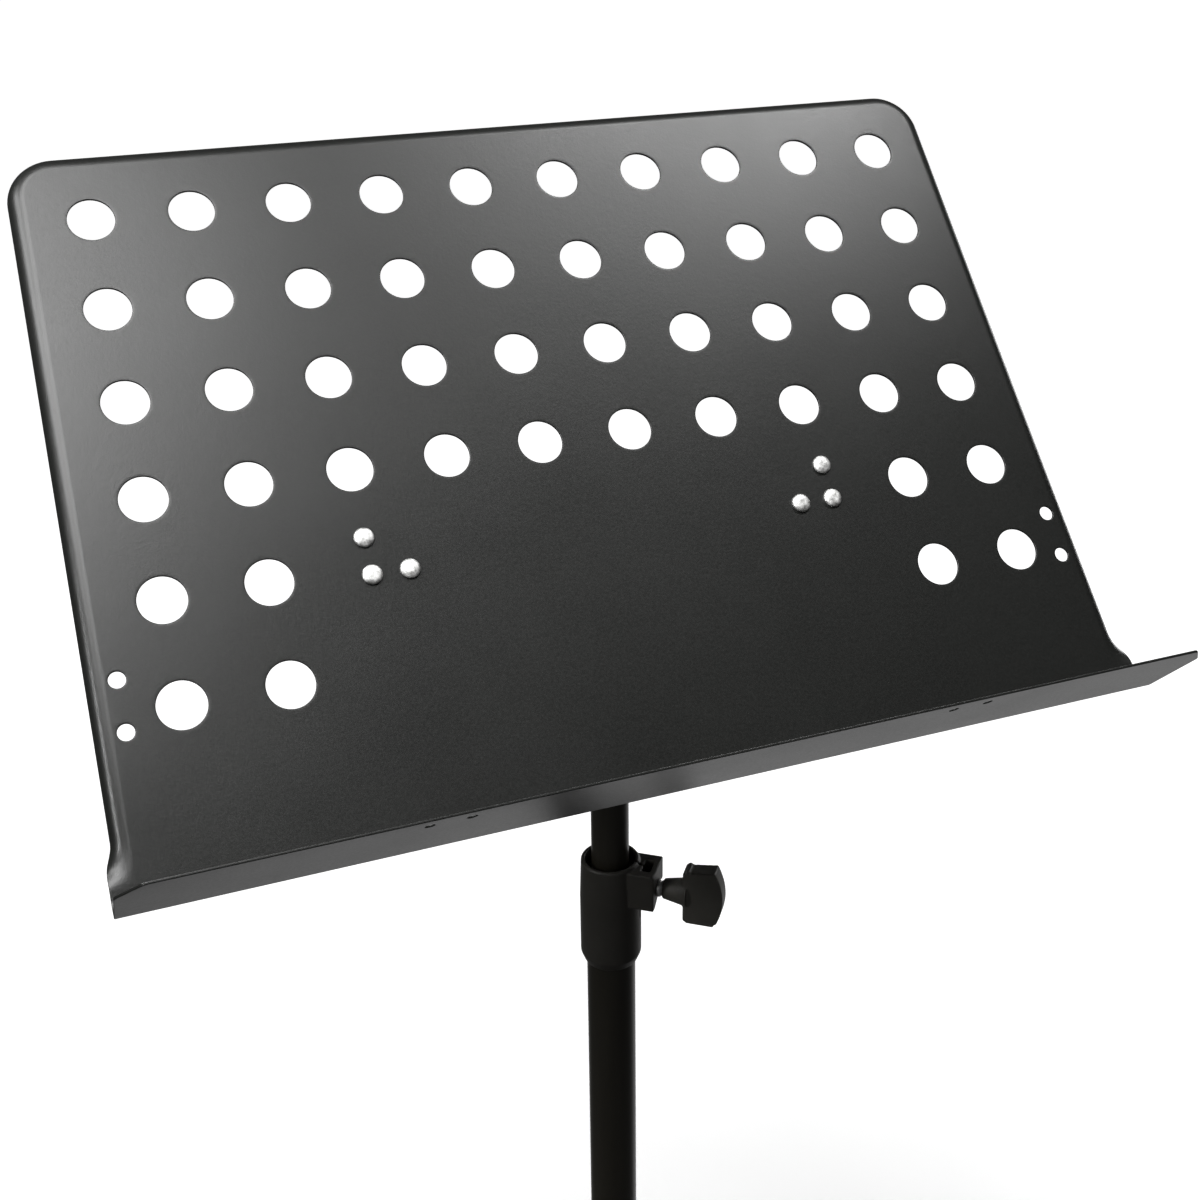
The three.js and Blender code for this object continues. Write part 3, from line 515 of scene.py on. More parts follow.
def powder_coat(name, dark, light, rough):
    """Satin powder coat: fine grain, orange peel, faint rubbed patches."""
    n = Nodes(name)
    grain = n.noise(900, 3.0, 0.7)
    peel = n.cells(420)
    patches = n.noise(9, 4.0, 0.6)
    fine = n.blend(n.swing(grain, 0.0, 1.0), dark, light)
    n.colour(n.blend(n.range(patches, 0.35, 0.75, 0.0, 0.35), fine, light))
    n.roughness(n.add(n.swing(patches, rough - 0.02, rough + 0.02), n.swing(grain, -0.03, 0.03)))
    n.bump((n.noise(260, 2.0, 0.5), 0.3, 0.06), (peel, 0.2, 0.04), (grain, 0.75, 0.04))
    n.set(Metallic=0.0, IOR=1.5)
    return n.material


def gloss_paint(name, dark, light, rough):
    """Gloss black paint on tube: slight orange peel, faint rubbing along the length, a few dull specks."""
    n = Nodes(name)
    rub = n.noise(60, 5.0, 0.65, (1, 1, 0.06))
    peel = n.noise(330, 2.0, 0.5)
    specks = n.noise(900, 2.0, 0.7)
    n.colour(n.blend(n.range(rub, 0.45, 0.8, 0.0, 1.0), dark, light))
    n.roughness(n.add(n.range(rub, 0.35, 0.75, rough, rough + 0.12), n.range(specks, 0.55, 0.8, 0.0, 0.12)))
    n.bump((peel, 0.12, 0.05), (specks, 0.08, 0.02))
    n.set(Metallic=0.0, IOR=1.5, Coat_Weight=0.12, Coat_Roughness=0.12)
    return n.material


def moulded_plastic(name, dark, light, rough):
    """Moulded black plastic: spark-eroded grain, and lighter convex edges, part rub wear and part painted
    sheen.
    """
    n = Nodes(name)
    grain = n.noise(1100, 3.0, 0.65)
    flow = n.noise(38, 4.0, 0.55)
    edge_wear_and_sheen = n.edges(0.52, 0.6)
    base = n.blend(n.swing(flow, 0.0, 1.0), dark, light)
    # Convex edges are lighter in colour: part rub wear, part painted sheen.
    n.colour(n.blend(edge_wear_and_sheen, base, tuple(1.15 * c for c in light)))
    n.roughness(n.add(n.swing(grain, rough - 0.05, rough + 0.05), n.swing(flow, -0.04, 0.04)))
    n.bump((grain, 0.4, 0.03), (flow, 0.1, 0.1))
    n.set(Metallic=0.0, IOR=1.48)
    return n.material


def bright_metal(name, dark, light, rough, dents=0.1):
    """Plated steel: slightly uneven shine, small dents and tool marks."""
    n = Nodes(name)
    marks = n.noise(420, 3.0, 0.6)
    fine = n.noise(2400, 2.0, 0.6)
    n.colour(n.blend(n.swing(marks, 0.0, 1.0), dark, light))
    n.roughness(n.add(n.swing(marks, rough - 0.04, rough + 0.08), n.swing(fine, -0.02, 0.04)))
    n.bump((marks, dents, 0.12), (fine, 0.15, 0.01))
    n.set(Metallic=1.0)
    return n.material


def black_rubber(name):
    n = Nodes(name)
    grain = n.noise(700, 4.0, 0.7)
    dust = n.noise(45, 5.0, 0.7)
    n.colour(n.blend(n.range(dust, 0.45, 0.75, 0.0, 1.0), (0.012, 0.012, 0.012), (0.035, 0.034, 0.032)))
    n.roughness(n.swing(grain, 0.72, 0.9))
    n.bump((grain, 0.5, 0.06), (dust, 0.15, 0.2))
    n.set(Metallic=0.0, IOR=1.5)
    return n.material


# Each finish is a material paired with a slot's name; the pieces use only the material.
DESK_PAINT = (
    powder_coat("desk powder coat", (0.0060, 0.0064, 0.0058), (0.0100, 0.0105, 0.0096), 0.345),
    "desk_paint",
)
BRACKET_PAINT = (
    powder_coat("bracket powder coat", (0.009, 0.009, 0.009), (0.013, 0.013, 0.013), 0.45),
    "bracket_paint",
)
TUBE_PAINT = (
    gloss_paint("mast gloss paint", (0.0200, 0.0180, 0.0130), (0.0290, 0.0264, 0.0200), 0.34),
    "tube_gloss",
)
LEG_PAINT = (
    gloss_paint("leg gloss paint", (0.0045, 0.0045, 0.0045), (0.009, 0.009, 0.009), 0.3),
    "leg_gloss",
)
CLAMP_PLASTIC = (
    moulded_plastic("clamp plastic", (0.036, 0.0342, 0.0295), (0.046, 0.0439, 0.0385), 0.5),
    "clamp_plastic",
)
KNOB_PLASTIC = (
    moulded_plastic("knob plastic", (0.090, 0.0866, 0.0755), (0.112, 0.1077, 0.0956), 0.46),
    "knob_plastic",
)
RIVET_STEEL = bright_metal("rivet steel", (0.36, 0.36, 0.35), (0.97, 0.97, 0.96), 0.52, 0.5), "rivet_steel"
ZINC = bright_metal("zinc plated steel", (0.74, 0.74, 0.73), (0.95, 0.95, 0.94), 0.42), "zinc_steel"
PIN_STEEL = bright_metal("blackened steel", (0.035, 0.035, 0.036), (0.06, 0.06, 0.062), 0.34), "pin_steel"
RUBBER = black_rubber("black rubber"), "foot_rubber"

# --- pieces ---------------------------------------------------------------------------------------------


def piece(name, body, bm, place, finish, nodes=(), bevel=0.0):
    """A finished piece: from a bmesh in mm in a local frame, to a named object on its CAD body."""
    bm.transform(Matrix.Scale(MM, 4) @ place)
    bmesh.ops.recalc_face_normals(bm, faces=bm.faces)
    obj = linked(bm, name)
    material, slot = finish
    obj.data.shade_smooth()
    obj.data.materials.append(material)
    if bevel:
        edges = obj.modifiers.new("edges", "BEVEL")
        edges.width = bevel * MM
        edges.segments = 3
        edges.limit_method = "ANGLE"
        edges.angle_limit = math.radians(35)
    normals = obj.modifiers.new("normals", "WEIGHTED_NORMAL")
    normals.keep_sharp = True
    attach(obj, body)
    if nodes:
        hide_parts(*nodes)


# --- desk -----------------------------------------------------------------------------------------------

X, Y, Z = Vector((1, 0, 0)), Vector((0, 1, 0)), Vector((0, 0, 1))


def smoothstep(low, high, value):
    t = min(1.0, max(0.0, (value - low) / (high - low)))
    return t * t * (3 - 2 * t)


def flat_half_width(y):
    share = min(1.0, y / (DESK_TOP - CORNER_R))
    return FOOT_HALF_WIDTH + (TOP_HALF_WIDTH - FOOT_HALF_WIDTH) * share - ROLL_R


def spaced(low, high, step):
    count = max(1, round(abs(high - low) / step))
    return [low + (high - low) * i / count for i in range(count + 1)]


def desk_side():
    """The right edge of the flat face, from the bend up to the corner: (x, y, way out in degrees)."""
    heights = spaced(FOOT_Y, 40, 1.6) + spaced(40, DESK_TOP - CORNER_R, 9)[1:]
    return [(flat_half_width(y), y, 0) for y in heights]


def desk_rim():
    """The flat face's edge from the right foot, over the top and down to the left foot."""
    right = desk_side()
    centre = TOP_HALF_WIDTH - CORNER_R
    r = CORNER_R - ROLL_R
    corner = [(centre + r * math.cos(a), DESK_TOP - CORNER_R + r * math.sin(a), math.degrees(a))
              for a in (math.radians(6 * i) for i in range(1, 15))]
    top = [(x, DESK_TOP - ROLL_R, 90) for x in spaced(centre, -centre, 10)]
    half = right + corner
    mirrored = [(-x, y, 180 - out) for x, y, out in reversed(half)]
    return half + top + mirrored


def rolled_column(skin, start, x, y, out, steps=12):
    """Vertices across the rolled-back edge at one place on the rim. It opens out flat towards the shelf."""
    unrolled = 1 - smoothstep(FLARE_LOW, FLARE_HIGH, y)
    full = math.pi / 2 * ROLL_R
    tab = SHELF_HALF_WIDTH - flat_half_width(FOOT_Y)
    length = full + (tab - full) * unrolled
    bend = max(1e-4, math.pi / 2 * (1 - unrolled))
    way = Vector((math.cos(math.radians(out)), math.sin(math.radians(out)), 0))
    column = [start]
    for k in range(1, steps + 1):
        a = bend * (length - EDGE_ROUND) / length * k / steps
        r = length / bend
        point = Vector((x, y, 0)) + way * r * math.sin(a) - Z * r * (1 - math.cos(a))
        column.append(skin.put(point, way * math.sin(a) + Z * math.cos(a)))
    return column


def shelf_outline():
    """The shelf's free edge from the right end of the bend round to the left end: (x, z)."""
    inset = EDGE_ROUND
    side, front = SHELF_HALF_WIDTH - inset, SHELF_DEPTH - inset
    half = filleted([
        (side, BEND_R), (side, SHELF_DEPTH - SHELF_CUT, 5), (SHELF_FRONT_HALF_WIDTH - inset, front, 3),
        (0, front),
    ], closed=False)
    rows = [(side, z) for z in spaced(BEND_R + 0.3, SHELF_DEPTH - SHELF_CUT - 4, 6)[1:]]
    right = rows + half[1:-1] + [(x, front) for x in spaced(SHELF_FRONT_HALF_WIDTH - 6, 0, 12)[1:]]
    return right + [(-x, z) for x, z in reversed(right[:-1])]


def on_shelf(x, z):
    """A point of the shelf's upper face. The shelf rises a little to its front edge."""
    y = SHEET / math.cos(SHELF_TILT) + (z - SHELF_DEPTH) * math.tan(SHELF_TILT)
    return Vector((x, y, z))


def desk_sheet():
    skin = Skin()
    rim = desk_rim()
    edge = [skin.put((x, y, 0), Z) for x, y, _ in rim]
    columns = [rolled_column(skin, v, *place) for v, place in zip(edge, rim)]
    for low, high in zip(columns, columns[1:]):
        skin.quads(low, high)
    reach = flat_half_width(FOOT_Y)
    inner = [skin.put((x, FOOT_Y, 0), Z) for x in spaced(-reach, reach, 10)[1:-1]]
    loops = [edge + inner]
    for row in range(FULL_ROWS + SIDE_ROWS):
        for column in range(COLUMNS):
            if row < FULL_ROWS or min(column, COLUMNS - 1 - column) < SIDE_COLUMNS:
                centre = Vector(((column - (COLUMNS - 1) / 2) * PITCH_X, TOP_ROW - row * PITCH_Y, 0))
                loops.append(skin.punched(centre, X, Y, Z, HOLE_R, 56, 1.4))
    for side in (-1, 1):
        for x, y in SIDE_HOLES:
            loops.append(skin.punched(Vector((side * x, y, 0)), X, Y, Z, SIDE_HOLE_R, 32, 0.9))
        for x, y in RIVETS:
            loops.append(skin.punched(Vector((side * x, y, 0)), X, Y, Z, RIVET_R + 0.1, 20, 0.7))
    skin.fill(*loops)
    # The bend: rows across the whole width, from the foot of the face round to the shelf.
    row = columns[-1][::-1] + inner + columns[0]
    for k in range(1, 13):
        a = (math.pi / 2 + SHELF_TILT) * k / 12
        following = []
        for v in row:
            point = (v.co.x, FOOT_Y - BEND_R * math.sin(a), BEND_R * (1 - math.cos(a)))
            following.append(skin.put(point, Y * math.sin(a) + Z * math.cos(a)))
        skin.quads(row, following)
        row = following
    up = Y * math.cos(SHELF_TILT) - Z * math.sin(SHELF_TILT)
    free = [skin.put(on_shelf(x, z), up) for x, z in shelf_outline()]
    pins = []
    for side in (-1, 1):
        for x in PIN_HOLES_X:
            centre = on_shelf(side * x, SHELF_DEPTH - PIN_HOLE_INSET)
            pins.append(skin.punched(centre, X, up.cross(X), up, PIN_HOLE_R, 24, 0.8))
    skin.fill(row + free, *pins)
    return skin.solid(SHEET)


def rivet_shape():
    """A solid rivet: a flattened dome in front, a hammered tail behind."""
    tail = -SHEET - EAR_T - 0.3
    head = dome(RIVET_HEAD_R, RIVET_HEAD_H - 0.3, 0.32, 10, 0.72)
    profile = [
        (0, tail - 1.4), (3.0, tail - 1.4, 0.6), (3.6, tail - 0.5, 0.4), (3.4, tail, 0.1), (RIVET_R, tail),
        (RIVET_R, 0.02), (RIVET_HEAD_R - 0.15, 0.02),
    ]
    return lathe(filleted(profile, closed=False, step=20) + head, 40)


def ear_shape():
    """The right-hand bracket ear: a flange on the desk's back, bent back into a web that holds the rod."""
    skin = Skin()
    front = -SHEET - SEAT
    rows = spaced(EAR_LOW, EAR_HIGH, 6)
    line = [skin.put((EAR_X + EAR_BEND_R, y, front), Z) for y in rows]
    outline = filleted([
        (EAR_X + EAR_BEND_R, EAR_LOW), (FLANGE_OUT, FLANGE_LOW, FLANGE_R),
        (FLANGE_OUT, FLANGE_HIGH, FLANGE_R), (FLANGE_IN, FLANGE_HIGH, FLANGE_R),
        (EAR_X + EAR_BEND_R, EAR_HIGH),
    ], closed=False)
    flange = [skin.put((x, y, front), Z) for x, y in outline[1:-1]]
    holes = [skin.punched(Vector((x, y, front)), X, Y, Z, RIVET_R + 0.1, 20, 0.7) for x, y in RIVETS]
    skin.fill(line[::-1] + flange, *holes)
    row = line
    for k in range(1, 7):
        a = math.pi / 2 * k / 6
        following = []
        for y in rows:
            x = EAR_X + EAR_BEND_R * (1 - math.sin(a))
            z = front - EAR_BEND_R * (1 - math.cos(a))
            following.append(skin.put((x, y, z), Z * math.cos(a) - X * math.sin(a)))
        skin.quads(row, following)
        row = following
    nose = arc(-PIVOT_BEHIND, PIVOT_ON_DESK, 12, 240, 120, 20)
    shoulder = front - 8
    low = filleted([(front - EAR_BEND_R, EAR_LOW), (shoulder, EAR_LOW, 3), nose[0]], closed=False)
    high = filleted([nose[-1], (shoulder, EAR_HIGH, 3), (front - EAR_BEND_R, EAR_HIGH)], closed=False)
    web = [skin.put((EAR_X, y, z), -X) for z, y in low[1:-1] + nose + high[1:-1]]
    eye = skin.punched(Vector((EAR_X, PIVOT_ON_DESK, -PIVOT_BEHIND)), Y, Z, -X, ROD_SCREW_R + 0.1, 24, 0.8)
    skin.fill(row[::-1] + web, eye)
    return skin.solid(EAR_T)


def cross_recess(size, width, low, high):
    """Two crossed slots, for a driver's bit."""
    return [block(-size, size, -width, width, low, high), block(-width, width, -size, size, low, high)]


def rod_screw_shape():
    head = dome(5.5, 3.0, 0.2, 10)
    profile = [(0, -13), (ROD_SCREW_R, -13, 0.5), (ROD_SCREW_R, 0), (5.4, 0)]
    body = lathe(filleted(profile, closed=False) + head, 48)
    return cut(body, *cross_recess(2.9, 0.6, 1.4, 5))


def rod_shape():
    end, bore, depth = EAR_X - 0.1, ROD_SCREW_R + 0.15, 13.5
    half = [(0, depth - end), (bore, depth - end), (bore, -end, 0.3), (ROD_R, -end, 0.6)]
    profile = half + [(r, -z, *rest) for r, z, *rest in reversed(half)]
    return lathe(filleted(profile, closed=False, step=30), 56)


def build_desk():
    piece("desk_sheet", "desk", desk_sheet(), DESK, DESK_PAINT, ["desk_panel"])
    pivot = DESK @ shift(0, PIVOT_ON_DESK, -PIVOT_BEHIND)
    for label, side in (("left", -1), ("right", 1)):
        mirror = Matrix.Scale(side, 4, X)
        for i, (x, y) in enumerate(RIVETS, 1):
            piece(f"rivet_{label}_{i}", "desk", rivet_shape(), DESK @ shift(side * x, y, 0), RIVET_STEEL,
                  [f"desk_rivet_{label}_{i}"])
        piece(f"ear_{label}", "desk", ear_shape(), DESK @ mirror, BRACKET_PAINT, [f"bracket_ear_{label}"])
        piece(f"pivot_screw_{label}", "desk", rod_screw_shape(),
              pivot @ mirror @ shift(EAR_X + EAR_T + SEAT) @ ALONG_X, ZINC, [f"rod_screw_{label}"],
              bevel=0.12)
    piece("tilt_rod", "desk", rod_shape(), pivot @ ALONG_X, TUBE_PAINT, ["cross_rod"])


# --- tilt head ------------------------------------------------------------------------------------------


def hex_part(across, low, high):
    """A hexagon with its corners turned off at both ends, as on a bolt or nut."""
    corner = across / math.sqrt(3)
    r = corner + 0.05
    flat = across / 2 - 0.2
    taper = 0.14 * across / 2
    profile = [(0, low), (flat, low), (r, low + taper), (r, high - taper), (flat, high), (0, high)]
    hexagon = circle(0, 0, corner, 6)
    return combined(prism(hexagon, low - 1, high + 1), [lathe(profile, 48)], "INTERSECT")


def wing_shape(bore, depth):
    """A wing knob along +Z: a tapered hub, and a blade with a bulging end across it."""
    hub_top = WING_START + 2
    hub = lathe(filleted([(0, 0), (5, 0, 0.6), (5.6, 3), (7.4, hub_top), (0, hub_top)], closed=False), 64)
    blade = filleted([
        (-WING_HALF, WING_START + 3, 1.5), (-WING_HALF + 2.5, WING_START, 1.5),
        (WING_HALF - 1.5, WING_START, 1), (WING_HALF, WING_START + 2, 1), (WING_HALF, WING_END, 0.8),
    ])
    across = [1 - k / 8 for k in range(1, 16)]
    bulge = [(WING_HALF * share, WING_END + WING_BULGE * (1 - share ** 2)) for share in across]
    outline = blade + bulge + [(-WING_HALF, WING_END)]
    wing = moved(prism(outline, -WING_T / 2, WING_T / 2), ALONG_Y)
    return cast(cut(joined(hub, wing), rod(bore, -1, depth)), 0.42, 4)


def tilt_head_shape():
    sleeve = moved(rod(HEAD_R, -HEAD_HALF, HEAD_HALF, 1.6, 72), ALONG_X)
    lug = filleted([
        (6, -LUG_HALF_H), (LUG_Y, -LUG_HALF_H, 3), (LUG_Y, LUG_HALF_H, 3), (6, LUG_HALF_H),
    ])
    lugs = moved(prism(lug, -LUG_HALF, LUG_HALF), turn(math.pi / 2, "Z") @ ALONG_Y)
    neck = lathe([(0, -24), (12, -24), (11.2, -14), (10.5, -6), (0, -6)], 72)
    plug = rod(UPPER_BORE - 0.3, -50, -22, 1.0, 56)
    bore = moved(rod(ROD_R + 0.25, -30, 30, 0, 56), ALONG_X)
    slot = block(-30, 30, 4, LUG_Y + 5, -1, 1)
    at_bolt = shift(0, BOLT_Y, 0)
    eye = moved(rod(BOLT_R + FIT, -20, 20), at_bolt)
    recess = moved(ring(WASHER_R + 0.4, WASHER_R + 1.2, LUG_HALF_H - 0.4, LUG_HALF_H + 1, 0.0), at_bolt)
    return cast(cut(joined(sleeve, lugs, neck, plug), bore, slot, eye, recess), 0.5, 4)


def build_tilt():
    piece("tilt_clamp", "upper_mast", tilt_head_shape(), HEAD, CLAMP_PLASTIC, ["tilt_head"])
    at_bolt = HEAD @ shift(0, BOLT_Y, 0)
    top = LUG_HALF_H + SEAT
    shank = rod(BOLT_R, -LUG_HALF_H - 10, top + 1, 0.5)
    bolt = joined(shank, hex_part(HEX_ACROSS, top, top + 4))
    piece("tilt_clamp_bolt", "upper_mast", bolt, at_bolt, ZINC, ["tilt_bolt"], bevel=0.15)
    under = -LUG_HALF_H - SEAT
    washer = ring(BOLT_R + FIT, WASHER_R, under - WASHER_T, under, 0.25)
    piece("tilt_clamp_washer", "upper_mast", washer, at_bolt, ZINC, ["tilt_washer"])
    flipped = at_bolt @ shift(0, 0, under - WASHER_T - GAP) @ turn(math.pi, "X")
    piece("tilt_wing_knob", "tilt_knob_set", wing_shape(BOLT_R + FIT, 11), flipped, KNOB_PLASTIC,
          ["tilt_knob"])


# --- mast -----------------------------------------------------------------------------------------------


def node_heights(node):
    """The lowest and highest z of a CAD node, in millimetres."""
    low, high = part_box(node)
    return low.z / MM, high.z / MM


def nut_pocket(z, top, place=shift()):
    """The slot that a clamp's nut drops into, open at the top."""
    return moved(block(*POCKET_X, -POCKET_HALF, POCKET_HALF, z - POCKET_DROP, top), place)


def screw_hole(z, place=shift()):
    return moved(rod(SCREW_R + FIT, 9, 40), place @ shift(0, 0, z) @ ALONG_X)


def collar_shape():
    low, high = node_heights("clutch_collar")
    body = lathe(filleted([
        (0, low), (13.6, low, 0.8), (CLUTCH_R, low + 5, 1.5), (CLUTCH_R, high - 22, 4), (14.9, high - 1, 0.5),
        (14.3, high, 0.4), (0, high),
    ], closed=False), 96)
    w = BOSS_HALF
    outline = [(-w, 0), (w, 0), (w, -12), (-w + 4, -20.5), (-w, -20.5)]
    boss = moved(prism(outline, 0, BOSS_REACH), shift(0, 0, high - 1.5) @ turn(math.pi / 2, "Z") @ ALONG_Y)
    bore = rod(LOWER_R + 0.25, low - 1, high + 1, 0, 96)
    pocket = nut_pocket(CLUTCH_Z, high + 1)
    hole = screw_hole(CLUTCH_Z)
    split = block(9, 17.6, -0.6, 0.6, high - 34, high + 1)
    return cast(cut(joined(body, boss), bore, pocket, hole, split), 0.42, 3)


def liner_shape():
    """The split ring that grips the upper tube."""
    low, high = node_heights("clutch_liner")
    shell = arc(0, 0, LOWER_R - 0.1, 187, 533, 96) + arc(0, 0, UPPER_R + 0.25, 533, 187, 96)
    return prism(shell, low, high)


def screw_shape(reach):
    """The clamp screw along +X: a plain shank, and a plated collar between the boss and the knob."""
    start = LOWER_R + 0.6
    profile = [
        (0, start), (SCREW_R, start, 0.5), (SCREW_R, reach + 0.25, 0.1), (PLATED_R, reach + 0.25, 0.3),
        (PLATED_R, reach + 1.3, 0.4), (3.9, reach + 2.4, 0.3), (SCREW_R, reach + 2.4),
        (SCREW_R, reach + 10, 0.4), (0, reach + 10),
    ]
    return moved(lathe(filleted(profile, closed=False), 48), ALONG_X)


def nut_shape():
    nut = cut(hex_part(HEX_ACROSS, 0, NUT_H), rod(SCREW_R + FIT, -2, NUT_H + 2))
    return moved(nut, turn(math.pi / 6, "Z"))


def build_clamp_screw(prefix, place, z, reach, body, knob_body):
    at_screw = place @ shift(0, 0, z)
    piece(f"{prefix}_clamp_screw", knob_body, screw_shape(reach), at_screw, ZINC, [f"{prefix}_screw"])
    at_knob = at_screw @ shift(reach + 2.8) @ ALONG_X
    piece(f"{prefix}_wing_knob", knob_body, wing_shape(SCREW_R + FIT, 8), at_knob, KNOB_PLASTIC,
          [f"{prefix}_knob"])
    piece(f"{prefix}_clamp_nut", body, nut_shape(), at_screw @ shift(NUT_X) @ ALONG_X, ZINC,
          [f"{prefix}_nut"], bevel=0.12)


def build_mast():
    low, high = node_heights("upper_tube")
    piece("mast_upper_tube", "upper_mast", ring(UPPER_BORE, UPPER_R, low, high, 0.4, 96), MAST, TUBE_PAINT,
          ["upper_tube"])
    bush_low, bush_high = node_heights("glide_bush")
    outer = LOWER_BORE - 0.3
    profile = [
        (5, bush_low, 0.3), (outer, bush_low, 0.8), (outer, bush_high, 0.4), (UPPER_R + FIT, bush_high, 0.3),
        (UPPER_R + FIT, low - GAP), (5, low - GAP, 0.3),
    ]
    piece("mast_glide_bush", "glide", lathe(filleted(profile), 72, closed=True), MAST, CLAMP_PLASTIC,
          ["glide_bush"])
    tube_low, tube_high = node_heights("lower_tube")
    piece("mast_lower_tube", "lower_mast", ring(LOWER_BORE, LOWER_R, tube_low, tube_high, 0.4, 112), MAST,
          TUBE_PAINT, ["lower_tube"])
    plug_low, plug_high = node_heights("lower_end_plug")
    rim = tube_low - SEAT
    profile = [
        (0, plug_low), (LOWER_R - 1.5, plug_low, 0.5), (LOWER_R, plug_low + 1.5, 0.6), (LOWER_R, rim, 0.3),
        (LOWER_BORE - FIT, rim), (LOWER_BORE - FIT, plug_high, 0.8), (0, plug_high),
    ]
    piece("mast_end_plug", "lower_mast", lathe(filleted(profile, closed=False), 72), MAST, CLAMP_PLASTIC,
          ["lower_end_plug"])
    piece("clutch_body", "lower_mast", collar_shape(), CLUTCH, CLAMP_PLASTIC, ["clutch_collar"])
    piece("clutch_split_liner", "lower_mast", liner_shape(), CLUTCH, CLAMP_PLASTIC, ["clutch_liner"],
          bevel=0.3)
    build_clamp_screw("clutch", CLUTCH, CLUTCH_Z, BOSS_REACH, "lower_mast", "clutch_knob_set")


# --- tripod ---------------------------------------------------------------------------------------------


def arm(y0, y1, z, radius):
    """A fork's cheek or a tongue, from the sleeve out to a round end about its pin."""
    outline = [(CROWN_R - 5, -radius), *arc(PIN_RADIUS, 0, radius, -90, 90, 24), (CROWN_R - 5, radius)]
    return moved(prism(outline, -y1, -y0), shift(0, 0, z) @ ALONG_Y)


def pin_bore(z):
    return moved(rod(PIN_R + FIT, -20, 20), shift(PIN_RADIUS, 0, z) @ ALONG_Y)


def crown_shape():
    low, high = node_heights("leg_crown")
    body = lathe(filleted([
        (0, low), (CROWN_R - 1, low, 0.6), (CROWN_R, low + 1.2, 0.6), (CROWN_R, high - 3, 1.5),
        (CROWN_R - 2, high, 0.8), (0, high),
    ], closed=False), 96)
    inside = LEG_HALF_WIDTH + GAP
    cheeks, bores = [], []
    for number in LEGS:
        local = MAST.inverted() @ spoke(number)
        cheeks += [moved(arm(inside, inside + FORK_T, CROWN_Z, 8), local),
                   moved(arm(-inside - FORK_T, -inside, CROWN_Z, 8), local)]
        bores.append(moved(pin_bore(CROWN_Z), local))
    local = MAST.inverted() @ CROWN_KNOB
    boss = moved(block(0, 26, -8, 8, CROWN_SCREW_Z - 9, CROWN_SCREW_Z + 9), local)
    pocket = nut_pocket(CROWN_SCREW_Z, CROWN_SCREW_Z + 12, local)
    hole = screw_hole(CROWN_SCREW_Z, local)
    bore = rod(LOWER_R + 0.3, low - 5, high + 5, 0, 96)
    return cast(cut(joined(body, *cheeks, boss), bore, pocket, hole, *bores), 0.6, 3)


def bottom_collar_shape():
    low, high = node_heights("bottom_collar")
    r = CROWN_R - 1
    body = lathe(filleted([(0, low), (r, low, 1.2), (r, high, 1.2), (0, high)], closed=False), 96)
    tongues, bores = [], []
    for number in LEGS:
        local = MAST.inverted() @ spoke(number)
        tongues.append(moved(arm(-LEG_HALF_WIDTH, LEG_HALF_WIDTH, BRACE_Z, 6.5), local))
        bores.append(moved(pin_bore(BRACE_Z), local))
    bore = rod(LOWER_R + 0.1, low - 5, high + 5, 0, 96)
    return cast(cut(joined(body, *tongues), bore, *bores), 0.6, 3)


def rounded_rect(half_x, half_y, r):
    return filleted([(-half_x, -half_y, r), (half_x, -half_y, r), (half_x, half_y, r), (-half_x, half_y, r)])


def leg_shape():
    """A leg in its own frame: the pivot at the origin, the tube down -Z."""
    wall = 1.5
    tube = prism(rounded_rect(LEG_HALF_DEPTH, LEG_HALF_WIDTH, 3), -LEG_LENGTH, LEG_TAIL,
                 [rounded_rect(LEG_HALF_DEPTH - wall, LEG_HALF_WIDTH - wall, 3 - wall)])
    pins = [moved(rod(PIN_R + FIT, -20, 20, 0, 32), shift(0, 0, z) @ ALONG_Y) for z in (0, -LINK)]
    return cut(tube, *pins)


def boot_shape():
    """The rubber boot in the leg's frame. Its sole lies flat on the floor."""
    c, s = math.cos(LEG_LEAN), math.sin(LEG_LEAN)
    out = LEG_HALF_DEPTH + 3

    def on_floor(r, z):
        return (r * c + z * s, -LEG_LENGTH - r * s + z * c)

    floor = -(CROWN_Z - LEG_LENGTH * c)
    outline = filleted([
        (-out, -LEG_LENGTH + 30, 1), (*on_floor(-13, floor), 0.8), (*on_floor(8, floor), 1.5),
        (*on_floor(10.5, floor + 2.5), 1.5), (LEG_HALF_DEPTH - 3, -LEG_LENGTH - 3, 1.5),
        (out, -LEG_LENGTH - 0.5, 2), (out, -LEG_LENGTH + 30, 1),
    ])
    half = LEG_HALF_WIDTH + 2.8
    body = moved(prism([(x, -z) for x, z in outline], -half, half), turn(-math.pi / 2, "X"))
    inside = rounded_rect(LEG_HALF_DEPTH + 0.1, LEG_HALF_WIDTH + 0.1, 3)
    cavity = prism(inside, -LEG_LENGTH - 0.2, -LEG_LENGTH + 90)
    return cast(cut(body, cavity), 0.6, 3)


def strip_shape():
    """A brace strip: pressed flat bar with round ends and a punched eye at its inner end."""
    outline = arc(0, 0, STRIP_HALF, 180, 360, 24) + arc(0, LINK, STRIP_HALF, 0, 180, 24)
    bar = prism(outline, -STRIP_T / 2, STRIP_T / 2, [circle(0, 0, PIN_R + 0.15, 32)])
    return moved(bar, ALONG_Y)


def pin_head():
    return dome(PIN_HEAD_R, PIN_HEAD_H - 0.2, 0.2)


def pin_shape(half):
    """A rivet pin along Y with a domed head outside each end."""
    upper = [(PIN_R, half), (PIN_HEAD_R - 0.1, half)] + [(r, z + half) for r, z in pin_head()]
    lower = [(r, -z) for r, z in reversed(upper)]
    return moved(lathe(lower + upper, 40), ALONG_Y)


